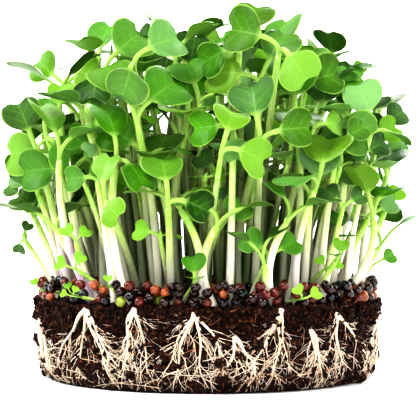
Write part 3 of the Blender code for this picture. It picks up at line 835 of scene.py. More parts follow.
def addTube(heap, path, radii, sides, tone, run=None):  # a round strand with closed ends
    path, radii = np.asarray(path), np.asarray(radii)
    run = np.linspace(0, 1, len(path)) if run is None else run
    ahead = np.gradient(path, axis=0)
    ahead /= np.linalg.norm(ahead, axis=1)[:, None]
    right = np.cross(ahead, (0.31, 0.93, 0.19) if abs(ahead[0][1]) < 0.8 else (0.93, 0.31, 0.19))
    right /= np.linalg.norm(right, axis=1)[:, None]
    up = np.cross(right, ahead)
    angles = np.arange(sides) * math.tau / sides
    ring = np.cos(angles)[None, :, None] * right[:, None, :] + np.sin(angles)[None, :, None] * up[:, None, :]
    points = (path[:, None, :] + ring * radii[:, None, None]).reshape(-1, 3)
    uvs = np.stack(np.broadcast_arrays(angles[None, :] / math.tau, run[:, None]), axis=-1).reshape(-1, 2)
    points = np.vstack([points, path[0] - ahead[0] * radii[0] * 0.4, path[-1] + ahead[-1] * radii[-1] * 0.8])
    uvs = np.vstack([uvs, (0.5, run[0]), (0.5, run[-1])])
    turn, last = np.arange(sides), len(path) * sides
    after = (turn + 1) % sides
    foot = np.stack([np.full(sides, last), after, turn], axis=-1)
    top = np.stack([np.full(sides, last + 1), last - sides + turn, last - sides + after], axis=-1)
    caps = np.vstack([foot, top])
    heap.faces.append(caps + heap.count)
    heap.slots.append(np.zeros(len(caps)))
    heap.add(points, [gridFaces(len(path), sides, closed=True)], uvs, tone)


def lumpShapes(level, count, rough, seed):  # unit balls roughened by noise, to be turned and scaled
    ball = bmesh.new()
    bmesh.ops.create_icosphere(ball, subdivisions=level, radius=1.0)
    faces = np.array([[vert.index for vert in face.verts] for face in ball.faces])
    shapes = []
    for number in range(count):
        shift = Vector((seed + number * 7.3, number * 3.1, seed * 1.7))
        grown = [vert.co * (1.0 + rough * noise.noise(vert.co * 1.6 + shift)) for vert in ball.verts]
        shapes.append(np.array([point[:] for point in grown]))
    ball.free()
    return shapes, faces


def addLump(heap, shapes, place, radius, squash, draw, tone=None, floor=None):
    shape, faces = draw.choice(shapes[0]), shapes[1]
    turned = np.array(Euler([draw.uniform(0, math.tau) for _ in range(3)]).to_matrix())
    scale = radius * np.array([draw.uniform(squash, 1.0) for _ in range(3)])
    points = (shape * scale) @ turned.T + place
    if floor is not None:
        points[:, 2] = np.maximum(points[:, 2], floor)
    heap.add(points, [faces], None, tone)


# Studio: white paper sweep, large soft lamps
studio = {
    "paper": "f7f7f6",
    "world": 0.11,
    "lamps": (  # name, watts, size, place, aim
        ("key", 8.0, 0.26, (-0.34, -0.46, 0.72), (0, 0, 0.06)),
        ("front", 3.5, 0.40, (0.10, -0.95, 0.26), (0, 0, 0.03)),
        ("fill", 2.0, 0.5, (0.62, -0.50, 0.25), (0, 0, 0.04)),
        ("back", 5.5, 0.35, (0.15, 0.45, 0.60), (0, 0, 0.07)),
        ("sweepLeft", 9.5, 0.5, (-0.75, 0.25, 0.45), (-0.1, 0.85, 0.15)),
        ("sweepRight", 9.5, 0.5, (0.75, 0.25, 0.45), (0.1, 0.85, 0.15)),
    ),
}


def buildStudio():
    paper = plainMaterial("studioPaper", studio["paper"], 0.9)
    sweep = bmesh.new()
    profile = [(-6.0, 0.0), (0.55, 0.0), (0.70, 0.03), (0.80, 0.12), (0.84, 0.30), (0.85, 1.1)]
    for x in (-6.0, 6.0):
        for y, z in profile:
            sweep.verts.new((x, y, z))
    sweep.verts.ensure_lookup_table()
    for step in range(len(profile) - 1):
        corners = (step, step + len(profile), step + len(profile) + 1, step + 1)
        sweep.faces.new([sweep.verts[corner] for corner in corners])
    mesh = bpy.data.meshes.new("studioSweep")
    sweep.to_mesh(mesh)
    sweep.free()
    addPiece("studioSweep", mesh, [paper])
    for name, watts, size, place, aim in studio["lamps"]:
        lamp = bpy.data.lights.new(name, "AREA")
        lamp.energy, lamp.size = watts, size
        holder = bpy.data.objects.new(name, lamp)
        holder.location = place
        holder.rotation_euler = (Vector(aim) - Vector(place)).to_track_quat("-Z", "Y").to_euler()
        bpy.context.scene.collection.objects.link(holder)
    world = bpy.data.worlds.new("studio")
    bpy.context.scene.world = world
    world.use_nodes = True
    background = world.node_tree.nodes["Background"]
    background.inputs["Color"].default_value = (1.0, 1.0, 1.0, 1.0)
    background.inputs["Strength"].default_value = studio["world"]
    bpy.context.scene.view_settings.view_transform = "Standard"
    bpy.context.scene.view_settings.look = "High Contrast"


buildStudio()
print("camera and studio set")


# Seed leaf: thin waxy tissue. Its cuticle gives a soft broad gloss, the flesh lets light through
leafLook = {
    "deep": "193f02",
    "fresh": "589f12",
    "under": "6f9f45",
    "glaucous": "8fbb7c",
    "lit": "9acb44",
    "vein": "a9cf74",
    # painted glow along the leaf's edge
    "rim": "a9cf62",
    "stalk": "a6ca66",
    "through": "d3f070",
    "roughness": 0.37,
    "mottle": 2.6 * mm,
    "cellSize": 0.35 * mm,  # clumps of cells, drawn coarser than life so that they show
    "veinSharp": 0.10,
}


def leafMaterial(name, under):
    made, tree = newMaterial(name)
    place = addNode(tree, "ShaderNodeUVMap", {"uv_map": "blade"})
    u, v = addNode(tree, "ShaderNodeSeparateXYZ", {0: place.outputs[0]}).outputs[:2]
    fresh, waxy, sunlit = tonesOf(tree)
    mottle = texture(tree, "ShaderNodeTexNoise", leafLook["mottle"], Detail=3.0, Roughness=0.6)[0]
    cells = texture(tree, "ShaderNodeTexVoronoi", leafLook["cellSize"])[0]
    offMiddle = calculate(tree, "ABSOLUTE", calculate(tree, "SUBTRACT", v, 0.5))
    # between deep and fresh green by leaf and by mottling, with a painted sheen along the middle and painted
    # shade towards the margin
    shade = calculate(tree, "MULTIPLY_ADD", mottle, 0.55, -0.27)
    shade = calculate(tree, "ADD", shade, fresh, clamp=True)
    shade = calculate(tree, "ADD", shade, remap(tree, offMiddle, 0.0, 0.5, 0.12, -0.18), clamp=True)
    look = tinted(tree, shade, colour(leafLook["deep"]), leafLook["under" if under else "fresh"])
    look = tinted(tree, waxy, look, leafLook["glaucous"])
    look = tinted(tree, sunlit, look, leafLook["lit"])
    # midrib: a line at v = 0.5 that narrows towards the notch
    ribWidth = remap(tree, u, 0.0, 0.85, 0.075, 0.006)
    rib = remap(tree, offMiddle, 0.0, ribWidth, 1.0, 0.0, kind="SMOOTHSTEP")
    # side veins: lines that leave the midrib and bend towards the tip
    ray = calculate(tree, "MULTIPLY_ADD", calculate(tree, "POWER", offMiddle, 0.72), -0.80, u)
    ray = calculate(tree, "MULTIPLY_ADD", mottle, 0.22, ray)
    wave = calculate(tree, "PINGPONG", calculate(tree, "MULTIPLY", ray, 3.4), 0.5)
    sideVein = remap(tree, wave, 0.0, leafLook["veinSharp"], 1.0, 0.0, kind="SMOOTHSTEP")
    sideVein = calculate(tree, "MULTIPLY", sideVein, remap(tree, offMiddle, 0.10, 0.46, 0.75, 0.12))
    veins = calculate(tree, "MAXIMUM", rib, sideVein)
    look = tinted(tree, calculate(tree, "MULTIPLY", veins, 0.16 if under else 0.20), look, leafLook["vein"])
    # a thin painted glow along the edge, and the stalk's own green at the foot
    look = tinted(tree, remap(tree, offMiddle, 0.455, 0.5, 0.0, 0.7), look, leafLook["rim"])
    look = tinted(tree, remap(tree, u, -0.05, 0.14, 1.0, 0.0), look, leafLook["stalk"])
    height = calculate(tree, "MULTIPLY_ADD", veins, -0.5, cells)
    height = calculate(tree, "MULTIPLY_ADD", mottle, 1.6, height)
    bump = bumpOf(tree, 0.30, 0.16 * mm, height)
    gloss = remap(tree, mottle, 0.3, 0.7, leafLook["roughness"] - 0.07, leafLook["roughness"] + 0.1)
    skin = addNode(tree, "ShaderNodeBsdfPrincipled", {
        "IOR": 1.42, "Specular IOR Level": 0.26, "Base Color": look, "Roughness": gloss, "Normal": bump,
    })
    through = addNode(tree, "ShaderNodeMix", {
        "data_type": "RGBA", "blend_type": "MULTIPLY", 0: 0.55, 6: look, 7: colour(leafLook["through"]),
    })
    glow = addNode(tree, "ShaderNodeBsdfTranslucent", {"Color": through.outputs[2], "Normal": bump})
    both = addNode(tree, "ShaderNodeMixShader", {0: 0.26, 1: skin.outputs[0], 2: glow.outputs[0]})
    addNode(tree, "ShaderNodeOutputMaterial", {"Surface": both.outputs[0]})
    return made


# Stem: water-filled hypocotyl, white at the foot and green near the leaves, smooth with a moist sheen
stemLook = {
    "foot": "ece8d6",
    "middle": "d9e3a2",
    "upper": "b4d26c",
    "top": "94c144",
    "purple": "93389a",
    "streak": "ffffff",
    # inner: painted shade of the stand's inside, laid over the inner stems and fading towards their tops
    "inner": "43580f",
    "roughness": 0.34,
    "drift": 7 * mm,
    "fibre": (0.5 * mm, 0.5 * mm, 9 * mm),
}


def stemMaterial():
    made, tree = newMaterial("hypocotylSkin")
    place = addNode(tree, "ShaderNodeUVMap", {"uv_map": "run"})
    run = addNode(tree, "ShaderNodeSeparateXYZ", {0: place.outputs[0]}).outputs[1]
    purple, early, inner = tonesOf(tree)
    drift = texture(tree, "ShaderNodeTexNoise", stemLook["drift"], Detail=2.0)[0]
    spot = addNode(tree, "ShaderNodeTexCoord", {})
    stretch = addNode(tree, "ShaderNodeMapping", {
        "Scale": [1 / part for part in stemLook["fibre"]], 0: spot.outputs["Object"],
    })
    fibre = addNode(tree, "ShaderNodeTexNoise", {"Scale": 1.0, "Detail": 3.0, "Vector": stretch.outputs[0]})
    rise = calculate(tree, "ADD", calculate(tree, "MULTIPLY_ADD", drift, 0.22, -0.11), run)
    rise = calculate(tree, "ADD", rise, early)
    ramp = addNode(tree, "ShaderNodeValToRGB", {0: rise, "stops": [
        (0.0, colour(stemLook["foot"])), (0.38, colour(stemLook["foot"])), (0.62, colour(stemLook["middle"])),
        (0.86, colour(stemLook["upper"])), (1.0, colour(stemLook["top"])),
    ]})
    # purple low down on some stems, pale streaks, and the stand's shade on the inner ones
    blush = calculate(
        tree, "MULTIPLY", remap(tree, drift, 0.35, 0.62, 0.25, 1.0), remap(tree, rise, 0.50, 0.78, 1.0, 0.0)
    )
    look = tinted(tree, calculate(tree, "MULTIPLY", blush, purple), ramp.outputs[0], stemLook["purple"])
    look = tinted(tree, remap(tree, fibre.outputs[0], 0.5, 0.75, 0.0, 0.4), look, stemLook["streak"])
    depth = calculate(tree, "MULTIPLY", inner, remap(tree, rise, 0.62, 0.98, 0.90, 0.12))
    addCoat(tree, {
        "Roughness": stemLook["roughness"], "IOR": 1.38, "Subsurface Weight": 0.25,
        "Subsurface Radius": (1.0, 0.9, 0.6), "Subsurface Scale": 0.7 * mm,
        "Base Color": tinted(tree, depth, look, stemLook["inner"]),
        "Normal": bumpOf(tree, 0.15, 0.1 * mm, fibre.outputs[0]),
    })
    return made


leafUpper = leafMaterial("cotyledonUpperSkin", False)
leafUnder = leafMaterial("cotyledonUnderSkin", True)
stemSkin = stemMaterial()


# Leaf meshes: two faces that meet at a thin rounded margin, and a fleshy stalk
fineLeaf = {
    "stalkRows": 8,
    "bladeRows": 13,
    "columns": 13,
    "stalkHalf": 0.72 * mm,
    "stalkThickness": 1.05 * mm,
    "bladeThickness": 0.34 * mm,
    "groove": 0.5 * mm,
    "full": 1.05,
    "tints": (0.0, 0.0, 0.1, 0.2, 0.45),
    "rise": 0.66,
    "join": 2.4,
    "narrowest": 0.09,
    "wave": 0.030,
    "curl": 0.07,
    "smallWidth": 9 * mm,
    "spine": 0.55,
    "spineHalf": 1.1 * mm,
}


def turnTo(vector, old, new):  # turned the shortest way from one direction to another
    hinge, close = np.cross(old, new), float(np.dot(old, new))
    return vector * close + np.cross(hinge, vector) + hinge * np.dot(hinge, vector) / max(0.05, 1.0 + close)


def rootedLeaves(seedling):  # the stalks leave the stem a little below its apex, in the stem's own direction
    leaves, apex = leavesOf(seedling), seedling["apex"][2]
    drop = min(0.62 * stalkOf(leaves[0]), 0.35 * (apex - plug["height"]))
    seedling["top"] = apex - drop + 0.3 * mm
    low, high = stemPath(seedling, np.array((apex - drop - 0.5 * mm, apex - drop)))
    for leaf in leaves:
        leaf["root"], leaf["rootWay"] = high, (high - low) / np.linalg.norm(high - low)
    return leaves


def stalkCurve(leaf, rows):  # middle line of the stalk and the direction across it
    start, end = leaf["root"], onArch(leaf, stalkOf(leaf), 0.0, 0.0)
    endWay = onArch(leaf, stalkOf(leaf) + 0.1 * mm, 0.0, 0.0) - end
    endWay /= np.linalg.norm(endWay)
    size = np.linalg.norm(end - start)
    first, last = start + leaf["rootWay"] * size * 0.42, end - endWay * size * 0.38
    t = (np.arange(rows) / rows)[:, None]
    line = (1 - t) ** 3 * start + 3 * (1 - t) ** 2 * t * first + 3 * (1 - t) * t ** 2 * last + t ** 3 * end
    ways = (1 - t) ** 2 * (first - start) + 2 * (1 - t) * t * (last - first) + t ** 2 * (end - last)
    ways /= np.linalg.norm(ways, axis=1)[:, None]
    across = np.cross(leaf["normal"], leaf["axis"])
    return line, np.array([turnTo(across, endWay, way) for way in ways])


def leafSurface(leaf):
    stalk = -1.0 + np.arange(fineLeaf["stalkRows"]) / fineLeaf["stalkRows"]
    u = np.concatenate([stalk, np.linspace(0.0, 1.0, fineLeaf["bladeRows"])])[:, None]
    v = np.sin(np.linspace(-math.pi / 2, math.pi / 2, fineLeaf["columns"]))[None, :]
    width, form, inBlade = leaf["width"], leafForm, np.clip(u * 3, 0, 1)
    rising = np.sin(math.pi / 2 * np.clip(u / form["widestAt"], 0, 1)) ** fineLeaf["rise"]
    past = np.clip((u - form["widestAt"]) / (1.0 - form["widestAt"]), 0, 1)
    falling = form["lobe"] + (1.0 - form["lobe"]) * np.sqrt(1.0 - past ** 2)
    narrow = min(fineLeaf["stalkHalf"], width * fineLeaf["narrowest"])
    half = np.where(u < form["widestAt"], rising, falling) * width / 2 * fineLeaf["full"]
    stalk = narrow * (1.0 - 0.15 * np.sin(math.pi * np.clip(u + 1, 0, 1)))
    join = fineLeaf["join"]
    half = (half ** join + stalk ** join) ** (1 / join) * (1.0 + leaf["uneven"] * v * inBlade)
    reach = u - np.clip(u, 0, 1) ** 3 * form["notch"] * leaf["notchShare"] * np.cos(math.pi / 2 * v) ** 2
    reach = reach + 0.5 * leaf["uneven"] * v * np.clip(u, 0, 1) ** 2
    along = stalkOf(leaf) * (1.0 + u)
    along = np.where(u < 0, along, stalkOf(leaf) + width * form["lengthShare"] * reach)
    across = v * half
    soft = np.sqrt(across ** 2 + fineLeaf["groove"] ** 2) - fineLeaf["groove"]
    swing = np.sin(u * leaf["waves"] + leaf["phase"] + np.sign(v) * 0.9)
    wave = fineLeaf["wave"] * width * np.abs(v) ** 2.2 * swing
    curl = -fineLeaf["curl"] * width * np.clip(np.abs(v) - 0.4, 0, 1) ** 2 * leaf["curl"]
    middle = onArch(leaf, along, across, (form["fold"] * leaf["foldShare"] * soft + wave + curl) * inBlade)
    line, side = stalkCurve(leaf, fineLeaf["stalkRows"])
    inStalk = slice(0, fineLeaf["stalkRows"])
    middle[inStalk] = line[:, None, :] + across[inStalk][..., None] * side[:, None, :]
    normal = np.cross(np.gradient(middle, axis=0), np.gradient(middle, axis=1))
    normal /= np.maximum(np.linalg.norm(normal, axis=2), 1e-9)[..., None]
    normal *= np.sign((normal[len(line):] * leaf["normal"]).sum(axis=2).mean())
    small = min(1.0, width / fineLeaf["smallWidth"])
    spine = np.clip(1.0 - (u + 0.1) / fineLeaf["spine"], 0, 1) ** 2
    spine = spine * np.exp(-(across / fineLeaf["spineHalf"]) ** 2)
    thick = fineLeaf["bladeThickness"] + (fineLeaf["stalkThickness"] - fineLeaf["bladeThickness"]) * spine
    swell = normal * (thick * small / 2 * np.sqrt(1.0 - v ** 2))[..., None]
    uvs = np.stack(np.broadcast_arrays(np.where(u < 0, u * 0.4, reach), 0.5 + v / 2), axis=-1)
    return middle + swell, middle - swell, uvs


def leafCharacter(leaf, draw):  # each leaf's own fold, waves and notch
    leaf["waves"] = draw.uniform(3.5, 7.0)
    leaf["phase"] = draw.uniform(0, math.tau)
    leaf["curl"] = draw.uniform(-0.5, 1.5)
    leaf["foldShare"] = draw.uniform(0.35, 1.1)
    leaf["notchShare"] = draw.uniform(0.30, 0.95)
    leaf["uneven"] = draw.uniform(-0.09, 0.09)


def leafTone(leaf, draw):
    # painted shade: leaves near the middle and low in the stand are drawn a deeper green and less waxy;
    # higher leaves are drawn fresher and waxier
    height = (leaf["base"][2] - plug["height"]) / 0.065
    inner = limit((0.042 - math.hypot(*leaf["base"][:2])) / 0.026) * limit(1.5 * (1.1 - height))
    fresh = limit(draw.uniform(0.0, 0.70) + 0.20 * height - 0.5 * inner)
    waxy = draw.choice(fineLeaf["tints"]) * (0.4 + 0.6 * min(1.0, height)) * (1.0 - inner)
    return fresh, waxy, draw.choice(fineLeaf["tints"])


def addLeaf(heap, leaf, draw):
    leafCharacter(leaf, draw)
    upper, lower, uvs = leafSurface(leaf)
    rows, columns = upper.shape[:2]
    faces, count = gridFaces(rows, columns), rows * columns
    points = np.vstack([upper.reshape(-1, 3), lower.reshape(-1, 3)])
    tone = leaf.get("tone") or leafTone(leaf, draw)
    tipTop = np.arange(count - columns, count)
    tip = np.stack([tipTop[:-1], tipTop[1:], tipTop[1:] + count, tipTop[:-1] + count], axis=-1)
    below = np.vstack([faces[:, ::-1] + count, tip[:, ::-1]])
    heap.add(points, [faces, below], np.vstack([uvs.reshape(-1, 2)] * 2), tone)


def finishLeaves(name, heap):
    return rideSlot(addPiece(name, heap.mesh(name, "blade"), [leafUpper, leafUnder]))


# Stem meshes
fineStem = {
    "rings": 26,
    "sides": 10,
    "sunk": 2.5 * mm,
    "purpleShare": 0.34,
    "budShare": 0.55,
    "budFrom": 12 * mm,
    "budRise": (-0.6, 0.0, 0.6, 1.2, 1.7),  # in mm, with the radii below
    "budRadii": (0.4, 0.62, 0.6, 0.38, 0.1),
}


def addStem(heap, seedling, draw, thick):
    foot, apex = plug["height"], seedling["top"]
    heights = np.linspace(foot - fineStem["sunk"], apex, fineStem["rings"])
    path = stemPath(seedling, np.maximum(heights, foot))
    path[:, 2] = heights
    share = np.clip((heights - foot) / (apex - foot), 0, 1)
    radii = thick * (1.0 - (1.0 - stem["tipShare"]) * share)
    radii *= 1.0 + 0.05 * np.sin(share * draw.uniform(4, 9) + draw.uniform(0, 6))
    radii[-1] *= 0.8
    flushed = draw.random() < fineStem["purpleShare"]
    purple = draw.uniform(0.35, 0.85) if flushed else draw.choice((0, 0, 0.08))
    # painted shade: stems whose feet stand near the middle of the plug take on the inner shade colour
    inner = limit((0.039 - math.hypot(*seedling["foot"][:2])) / 0.012)
    addTube(heap, path, radii, fineStem["sides"], (purple, draw.uniform(-0.08, 0.14), inner), share)
    # the first true leaves, still folded, at some tips
    if draw.random() < fineStem["budShare"] and apex - foot > fineStem["budFrom"]:
        tilt = np.array((draw.uniform(-0.3, 0.3), draw.uniform(-0.3, 0.3), 1.0))
        steps, full = np.array(fineStem["budRise"])[:, None] * mm, draw.uniform(0.8, 1.25)
        radii = np.array(fineStem["budRadii"]) * mm * full
        addTube(heap, path[-1] + tilt * steps * full, radii, 8, (0, 0.1, 0), np.full(len(radii), 1.0))


def finishStems(name, heap):
    return rideSlot(addPiece(name, heap.mesh(name), [stemSkin]))


def dressPairs():
    draw = random.Random(41)
    for number, pair in enumerate(cadPairs, 1):
        leaves, stems = Heap(), Heap()
        for seedling in pair:
            for leaf in rootedLeaves(seedling):
                addLeaf(leaves, leaf, draw)
            addStem(stems, seedling, draw, stem["radius"] * draw.uniform(0.92, 1.08))
        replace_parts(finishLeaves(f"seedLeaves{number:02d}", leaves), f"leaves_{number:02d}")
        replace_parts(finishStems(f"hypocotyls{number:02d}", stems), f"stems_{number:02d}")


def dressLoose(name, seedlings, seed, perPiece=30):
    draw = random.Random(seed)
    for start in range(0, len(seedlings), perPiece):
        leaves, stems = Heap(), Heap()
        for seedling in seedlings[start:start + perPiece]:
            for leaf in rootedLeaves(seedling):
                addLeaf(leaves, leaf, draw)
            slim = min(1.0, 0.45 + 0.6 * (seedling["apex"][2] - plug["height"]) / 0.03)
            addStem(stems, seedling, draw, stem["radius"] * draw.uniform(0.75, 1.0) * slim)
        number = start // perPiece + 1
        finishLeaves(f"{name}Leaves{number}", leaves)
        finishStems(f"{name}Hypocotyls{number}", stems)


dressPairs()
dressLoose("front", seenSeedlings, 43)
dressLoose("inner", fillers, 47)
print("leaves and stems grown")


# Growing mix: damp coir and peat. Dark, matt and crumbly, with paler fibres and a few bright specks
soil = {
    "columns": 540,
    "sideRows": 62,
    "topRings": 26,
    "heave": 0.95 * mm,
    "grain": 2.3 * mm,
    "largeCrumbs": 420,
    "smallCrumbs": 3600,
    "grains": 2600,
    "rimCrumbs": 1300,
    "fibres": 380,
    "dark": "0a0301",
    "middle": "36170a",
    "pale": "6e3519",
    "fibre": "84532f",
    "clod": 1.6 * mm,
    "crumb": 0.95 * mm,
    "roughness": 0.86,
}


def heaveAt(x, y, z):
    spot = Vector((x, y, z)) / soil["grain"]
    return noise.noise(spot) * 0.6 + noise.noise(spot * 2.6) * 0.6


def soilMaterial(name, lift):
    made, tree = newMaterial(name)
    clods = texture(tree, "ShaderNodeTexNoise", soil["clod"], Detail=6.0, Roughness=0.7)[0]
    specks = texture(tree, "ShaderNodeTexVoronoi", soil["crumb"])
    ramp = addNode(tree, "ShaderNodeValToRGB", {0: clods, "stops": [
        (0.30, colour(soil["dark"])), (0.52, colour(soil["middle"])), (0.72, colour(soil["pale"])),
    ]})
    kind = addNode(tree, "ShaderNodeSeparateColor", {0: specks["Color"]}).outputs[0]
    look = tinted(tree, remap(tree, kind, 0.80, 0.98, 0.0, 0.42 + lift), ramp.outputs[0], soil["fibre"])
    # painted shade in the hollows between crumbs: darker where the bump makes the surface lower
    look = tinted(tree, remap(tree, specks[0], 0.30, 0.62, 0.0, 0.92), look, soil["dark"])
    rough = calculate(tree, "MULTIPLY_ADD", specks[0], -1.6, clods)
    addCoat(tree, {
        "Roughness": soil["roughness"], "Specular IOR Level": 0.2, "Base Color": look,
        "Normal": bumpOf(tree, 0.9, 0.5 * mm, rough),
    })
    return made


def buildSoil():
    heap = Heap()
    angles = np.arange(soil["columns"]) * math.tau / soil["columns"]
    edge = plug["radius"] - 0.0012
    rows = [(0.0001, 0.0, 0), (sideRadius(0.0), 0.0, 0)]
    rows += [(sideRadius(z), z, 1) for z in np.linspace(0.0006, plug["height"] - 0.0010, soil["sideRows"])]
    rings = np.arange(soil["topRings"] + 1) / soil["topRings"]
    rows += [(edge * (1 - ring) + 0.0001, plug["height"], 2) for ring in rings]
    points = np.zeros((len(rows), soil["columns"], 3))
    for row, (radius, z, kind) in enumerate(rows):
        for column, angle in enumerate(angles):
            x, y = radius * math.cos(angle), radius * math.sin(angle)
            push = heaveAt(x, y, z) * soil["heave"] if kind else 0.0
            if kind == 1:
                x, y = (radius + push) * math.cos(angle), (radius + push) * math.sin(angle)
            points[row, column] = (x, y, z + (push * min(1.0, radius / 0.006) if kind == 2 else 0.0))
    heap.add(points.reshape(-1, 3), [gridFaces(len(rows), soil["columns"], closed=True)])
    body = addPiece("growingMix", heap.mesh("growingMix"), [soilMaterial("coirAndPeat", 0.0)])
    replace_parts(rideSlot(body), "soil_plug")


def crumbPlace(draw, size, sideShare, lowest=0.0, proud=0.0):
    angle = draw.uniform(0, math.tau)
    if draw.random() < sideShare:
        z = draw.uniform(max(lowest, size * 0.8), plug["height"])
        radius = sideRadius(z) + draw.uniform(-0.35, 0.55) * size + proud * draw.random()
        return onRing(radius, angle, z)
    radius = (plug["radius"] - 0.001) * math.sqrt(draw.random())
    return onRing(radius, angle, plug["height"] + draw.uniform(-0.3, 0.5) * size)


def buildCrumbs():
    draw = random.Random(51)
    crumb = soilMaterial("coirCrumbs", 0.18)
    sizes = (  # name, fineness, count, radii in mm, share on the side, lowest place and how proud, in mm
        ("largeCrumbs", 2, soil["largeCrumbs"], (0.9, 1.7), 0.62, 0.0, 0.0),
        ("smallCrumbs", 1, soil["smallCrumbs"], (0.35, 0.95), 0.70, 0.0, 0.0),
        ("grains", 1, soil["grains"], (0.22, 0.50), 0.92, 0.0, 0.5),
        ("rimCrumbs", 1, soil["rimCrumbs"], (0.32, 0.80), 0.80, 14.0, 1.0),
    )
    for name, level, count, span, sideShare, lowest, proud in sizes:
        heap, shapes = Heap(), lumpShapes(level, 20, 0.75, 3 + level)
        for _ in range(count):
            size = draw.uniform(*span) * mm
            place = crumbPlace(draw, size, sideShare, lowest * mm, proud * mm)
            addLump(heap, shapes, place, size, 0.6, draw, None, 0.0)
        rideSlot(addPiece(name, heap.mesh(name), [crumb]))
    heap = Heap()
    for _ in range(soil["fibres"]):  # coir fibres, a quarter of a millimetre thick at most
        start = crumbPlace(draw, 0.6 * mm, 0.8)
        outward = unit(start[0], start[1])
        along = np.array([draw.gauss(0, 1) for _ in range(3)]) * (1.0, 1.0, 0.6)
        along = along - outward * np.dot(along, outward) * 0.9
        along *= draw.uniform(1.0, 3.4) * mm / np.linalg.norm(along)
        bend = outward * draw.uniform(0.0, 0.5) * mm
        t = np.linspace(0, 1, 6)[:, None]
        path = start + outward * 0.3 * mm + along * t + bend * np.sin(math.pi * t)
        path[:, 2] = np.maximum(path[:, 2], 0.3 * mm)
        addTube(heap, path, np.full(6, draw.uniform(0.05, 0.12) * mm), 4, (0, 0, 0))
    strand = plainMaterial("coirFibre", soil["fibre"], 0.7)
    rideSlot(addPiece("coirFibres", heap.mesh("coirFibres"), [strand]))


# Roots: living, turgid and cream-white, thick at the crown and hair-fine at the tips
rootLook = {
    "young": "dfcdb9",
    "old": "c79a73",
    "roughness": 0.45,
    "stain": 1.8 * mm,
    "taproot": (0.78, 0.11),  # radii in mm, at the crown and at the tip
    "lateral": (0.21, 0.07),
    "hair": (0.075, 0.04),
    "lateralsPerTaproot": 9,
    "net": 50,
    "hairs": 120,
}
frontRoots = (  # crown's angle in degrees from the front and height in mm, then where its main roots end
    ((-76, 18.0), (-80, 5.0), (-66, 3.0)),
    ((-41, 20.2), (-58, 5.4), (-46, 1.2), (-32, 1.6), (-27, 5.0)),
    ((-23, 20.6), (-25, 8.0), (-30, 1.0), (-19, 4.2)),
    ((-4, 19.8), (-17, 1.8), (-11, 1.0), (7, 6.8), (0, 1.5)),
    ((8, 14.0), (4, 3.0), (15, 5.0)),
    ((23, 20.4), (11, 4.3), (17, 1.0), (27, 2.5)),
    ((33, 15.5), (41, 1.0), (35, 4.0)),
    ((44, 19.0), (37, 5.3), (50, 1.2), (66, 6.2)),
    ((72, 17.0), (78, 3.0), (62, 2.0)),
)


def rootMaterial():
    made, tree = newMaterial("livingRoot")
    stain = texture(tree, "ShaderNodeTexNoise", rootLook["stain"], Detail=3.0)[0]
    age = calculate(tree, "ADD", remap(tree, stain, 0.45, 0.75, 0.0, 0.5), tonesOf(tree)[0], clamp=True)
    addCoat(tree, {
        "Roughness": rootLook["roughness"], "IOR": 1.38, "Subsurface Weight": 0.25,
        "Subsurface Radius": (1.0, 0.8, 0.6), "Subsurface Scale": 0.4 * mm,
        "Base Color": tinted(tree, age, colour(rootLook["young"]), rootLook["old"]),
    })
    return made


def sidePoints(angles, heights, lift):  # points just off the plug's side; angles in radians from the front
    heights = np.maximum(heights, 0.4 * mm)
    radius = np.array([sideRadius(z) for z in heights]) + lift
    return np.stack([radius * np.sin(angles), -radius * np.cos(angles), heights], axis=-1)


def addRoot(heap, start, end, thick, thin, draw, steps=14, sides=6, wobble=1.0, lift=0.0, buried=0.0):
    t = np.linspace(0, 1, steps)
    length = math.hypot((end[0] - start[0]) * plug["radius"], end[1] - start[1])
    swing = wobble * 0.085 * length / plug["radius"]
    ways = [draw.uniform(-1, 1) for _ in range(4)]
    swings = (ways[0], math.pi), (ways[1] * 0.6, math.tau), (ways[2] * 0.35, 11)
    shake = sum(part * np.sin(pace * t) for part, pace in swings)
    angles = start[0] + (end[0] - start[0]) * t + shake * swing
    heights = start[1] + (end[1] - start[1]) * t + ways[3] * wobble * 0.05 * length * np.sin(math.pi * t)
    radii = (thick + (thin - thick) * t ** 0.5) * mm
    bumps = 0.25 * mm * np.sin(t * draw.uniform(6, 15) + draw.uniform(0, 6)) * np.sin(math.pi * t)
    dive = 0.9 * mm * (np.clip(1 - t / 0.16, 0, 1) ** 2 + 0.5 * np.clip((t - 0.85) / 0.15, 0, 1) ** 2)
    path = sidePoints(angles, heights, radii + 0.32 * mm + lift + bumps - dive * buried)
    addTube(heap, path, radii, sides, (draw.choice((0.0, 0.0, 0.1, 0.3)), 0, 0))
    return np.stack([angles, heights], axis=-1)


def branchOff(heap, line, count, spread, span, look, draw, steps=9, sides=5):
    made = []
    for _ in range(count):
        spot = int(draw.uniform(0.08, 0.92) * (len(line) - 1))
        place, run = line[spot], line[spot + 1] - line[spot]
        down = math.atan2(run[0] * plug["radius"], -run[1])
        down += math.radians(draw.uniform(*spread)) * draw.choice((-1, 1))
        length = draw.uniform(*span) * mm
        end = (place[0] + math.sin(down) * length / plug["radius"], place[1] - math.cos(down) * length)
        end = (end[0], limit(end[1], 0.5 * mm, plug["height"] - 1.5 * mm))
        thick = draw.uniform(0.55, 1.0) * look[0]
        made.append(addRoot(heap, place, end, thick, look[1], draw, steps, sides, 1.3, 0.12 * mm, 0.0))
    return made


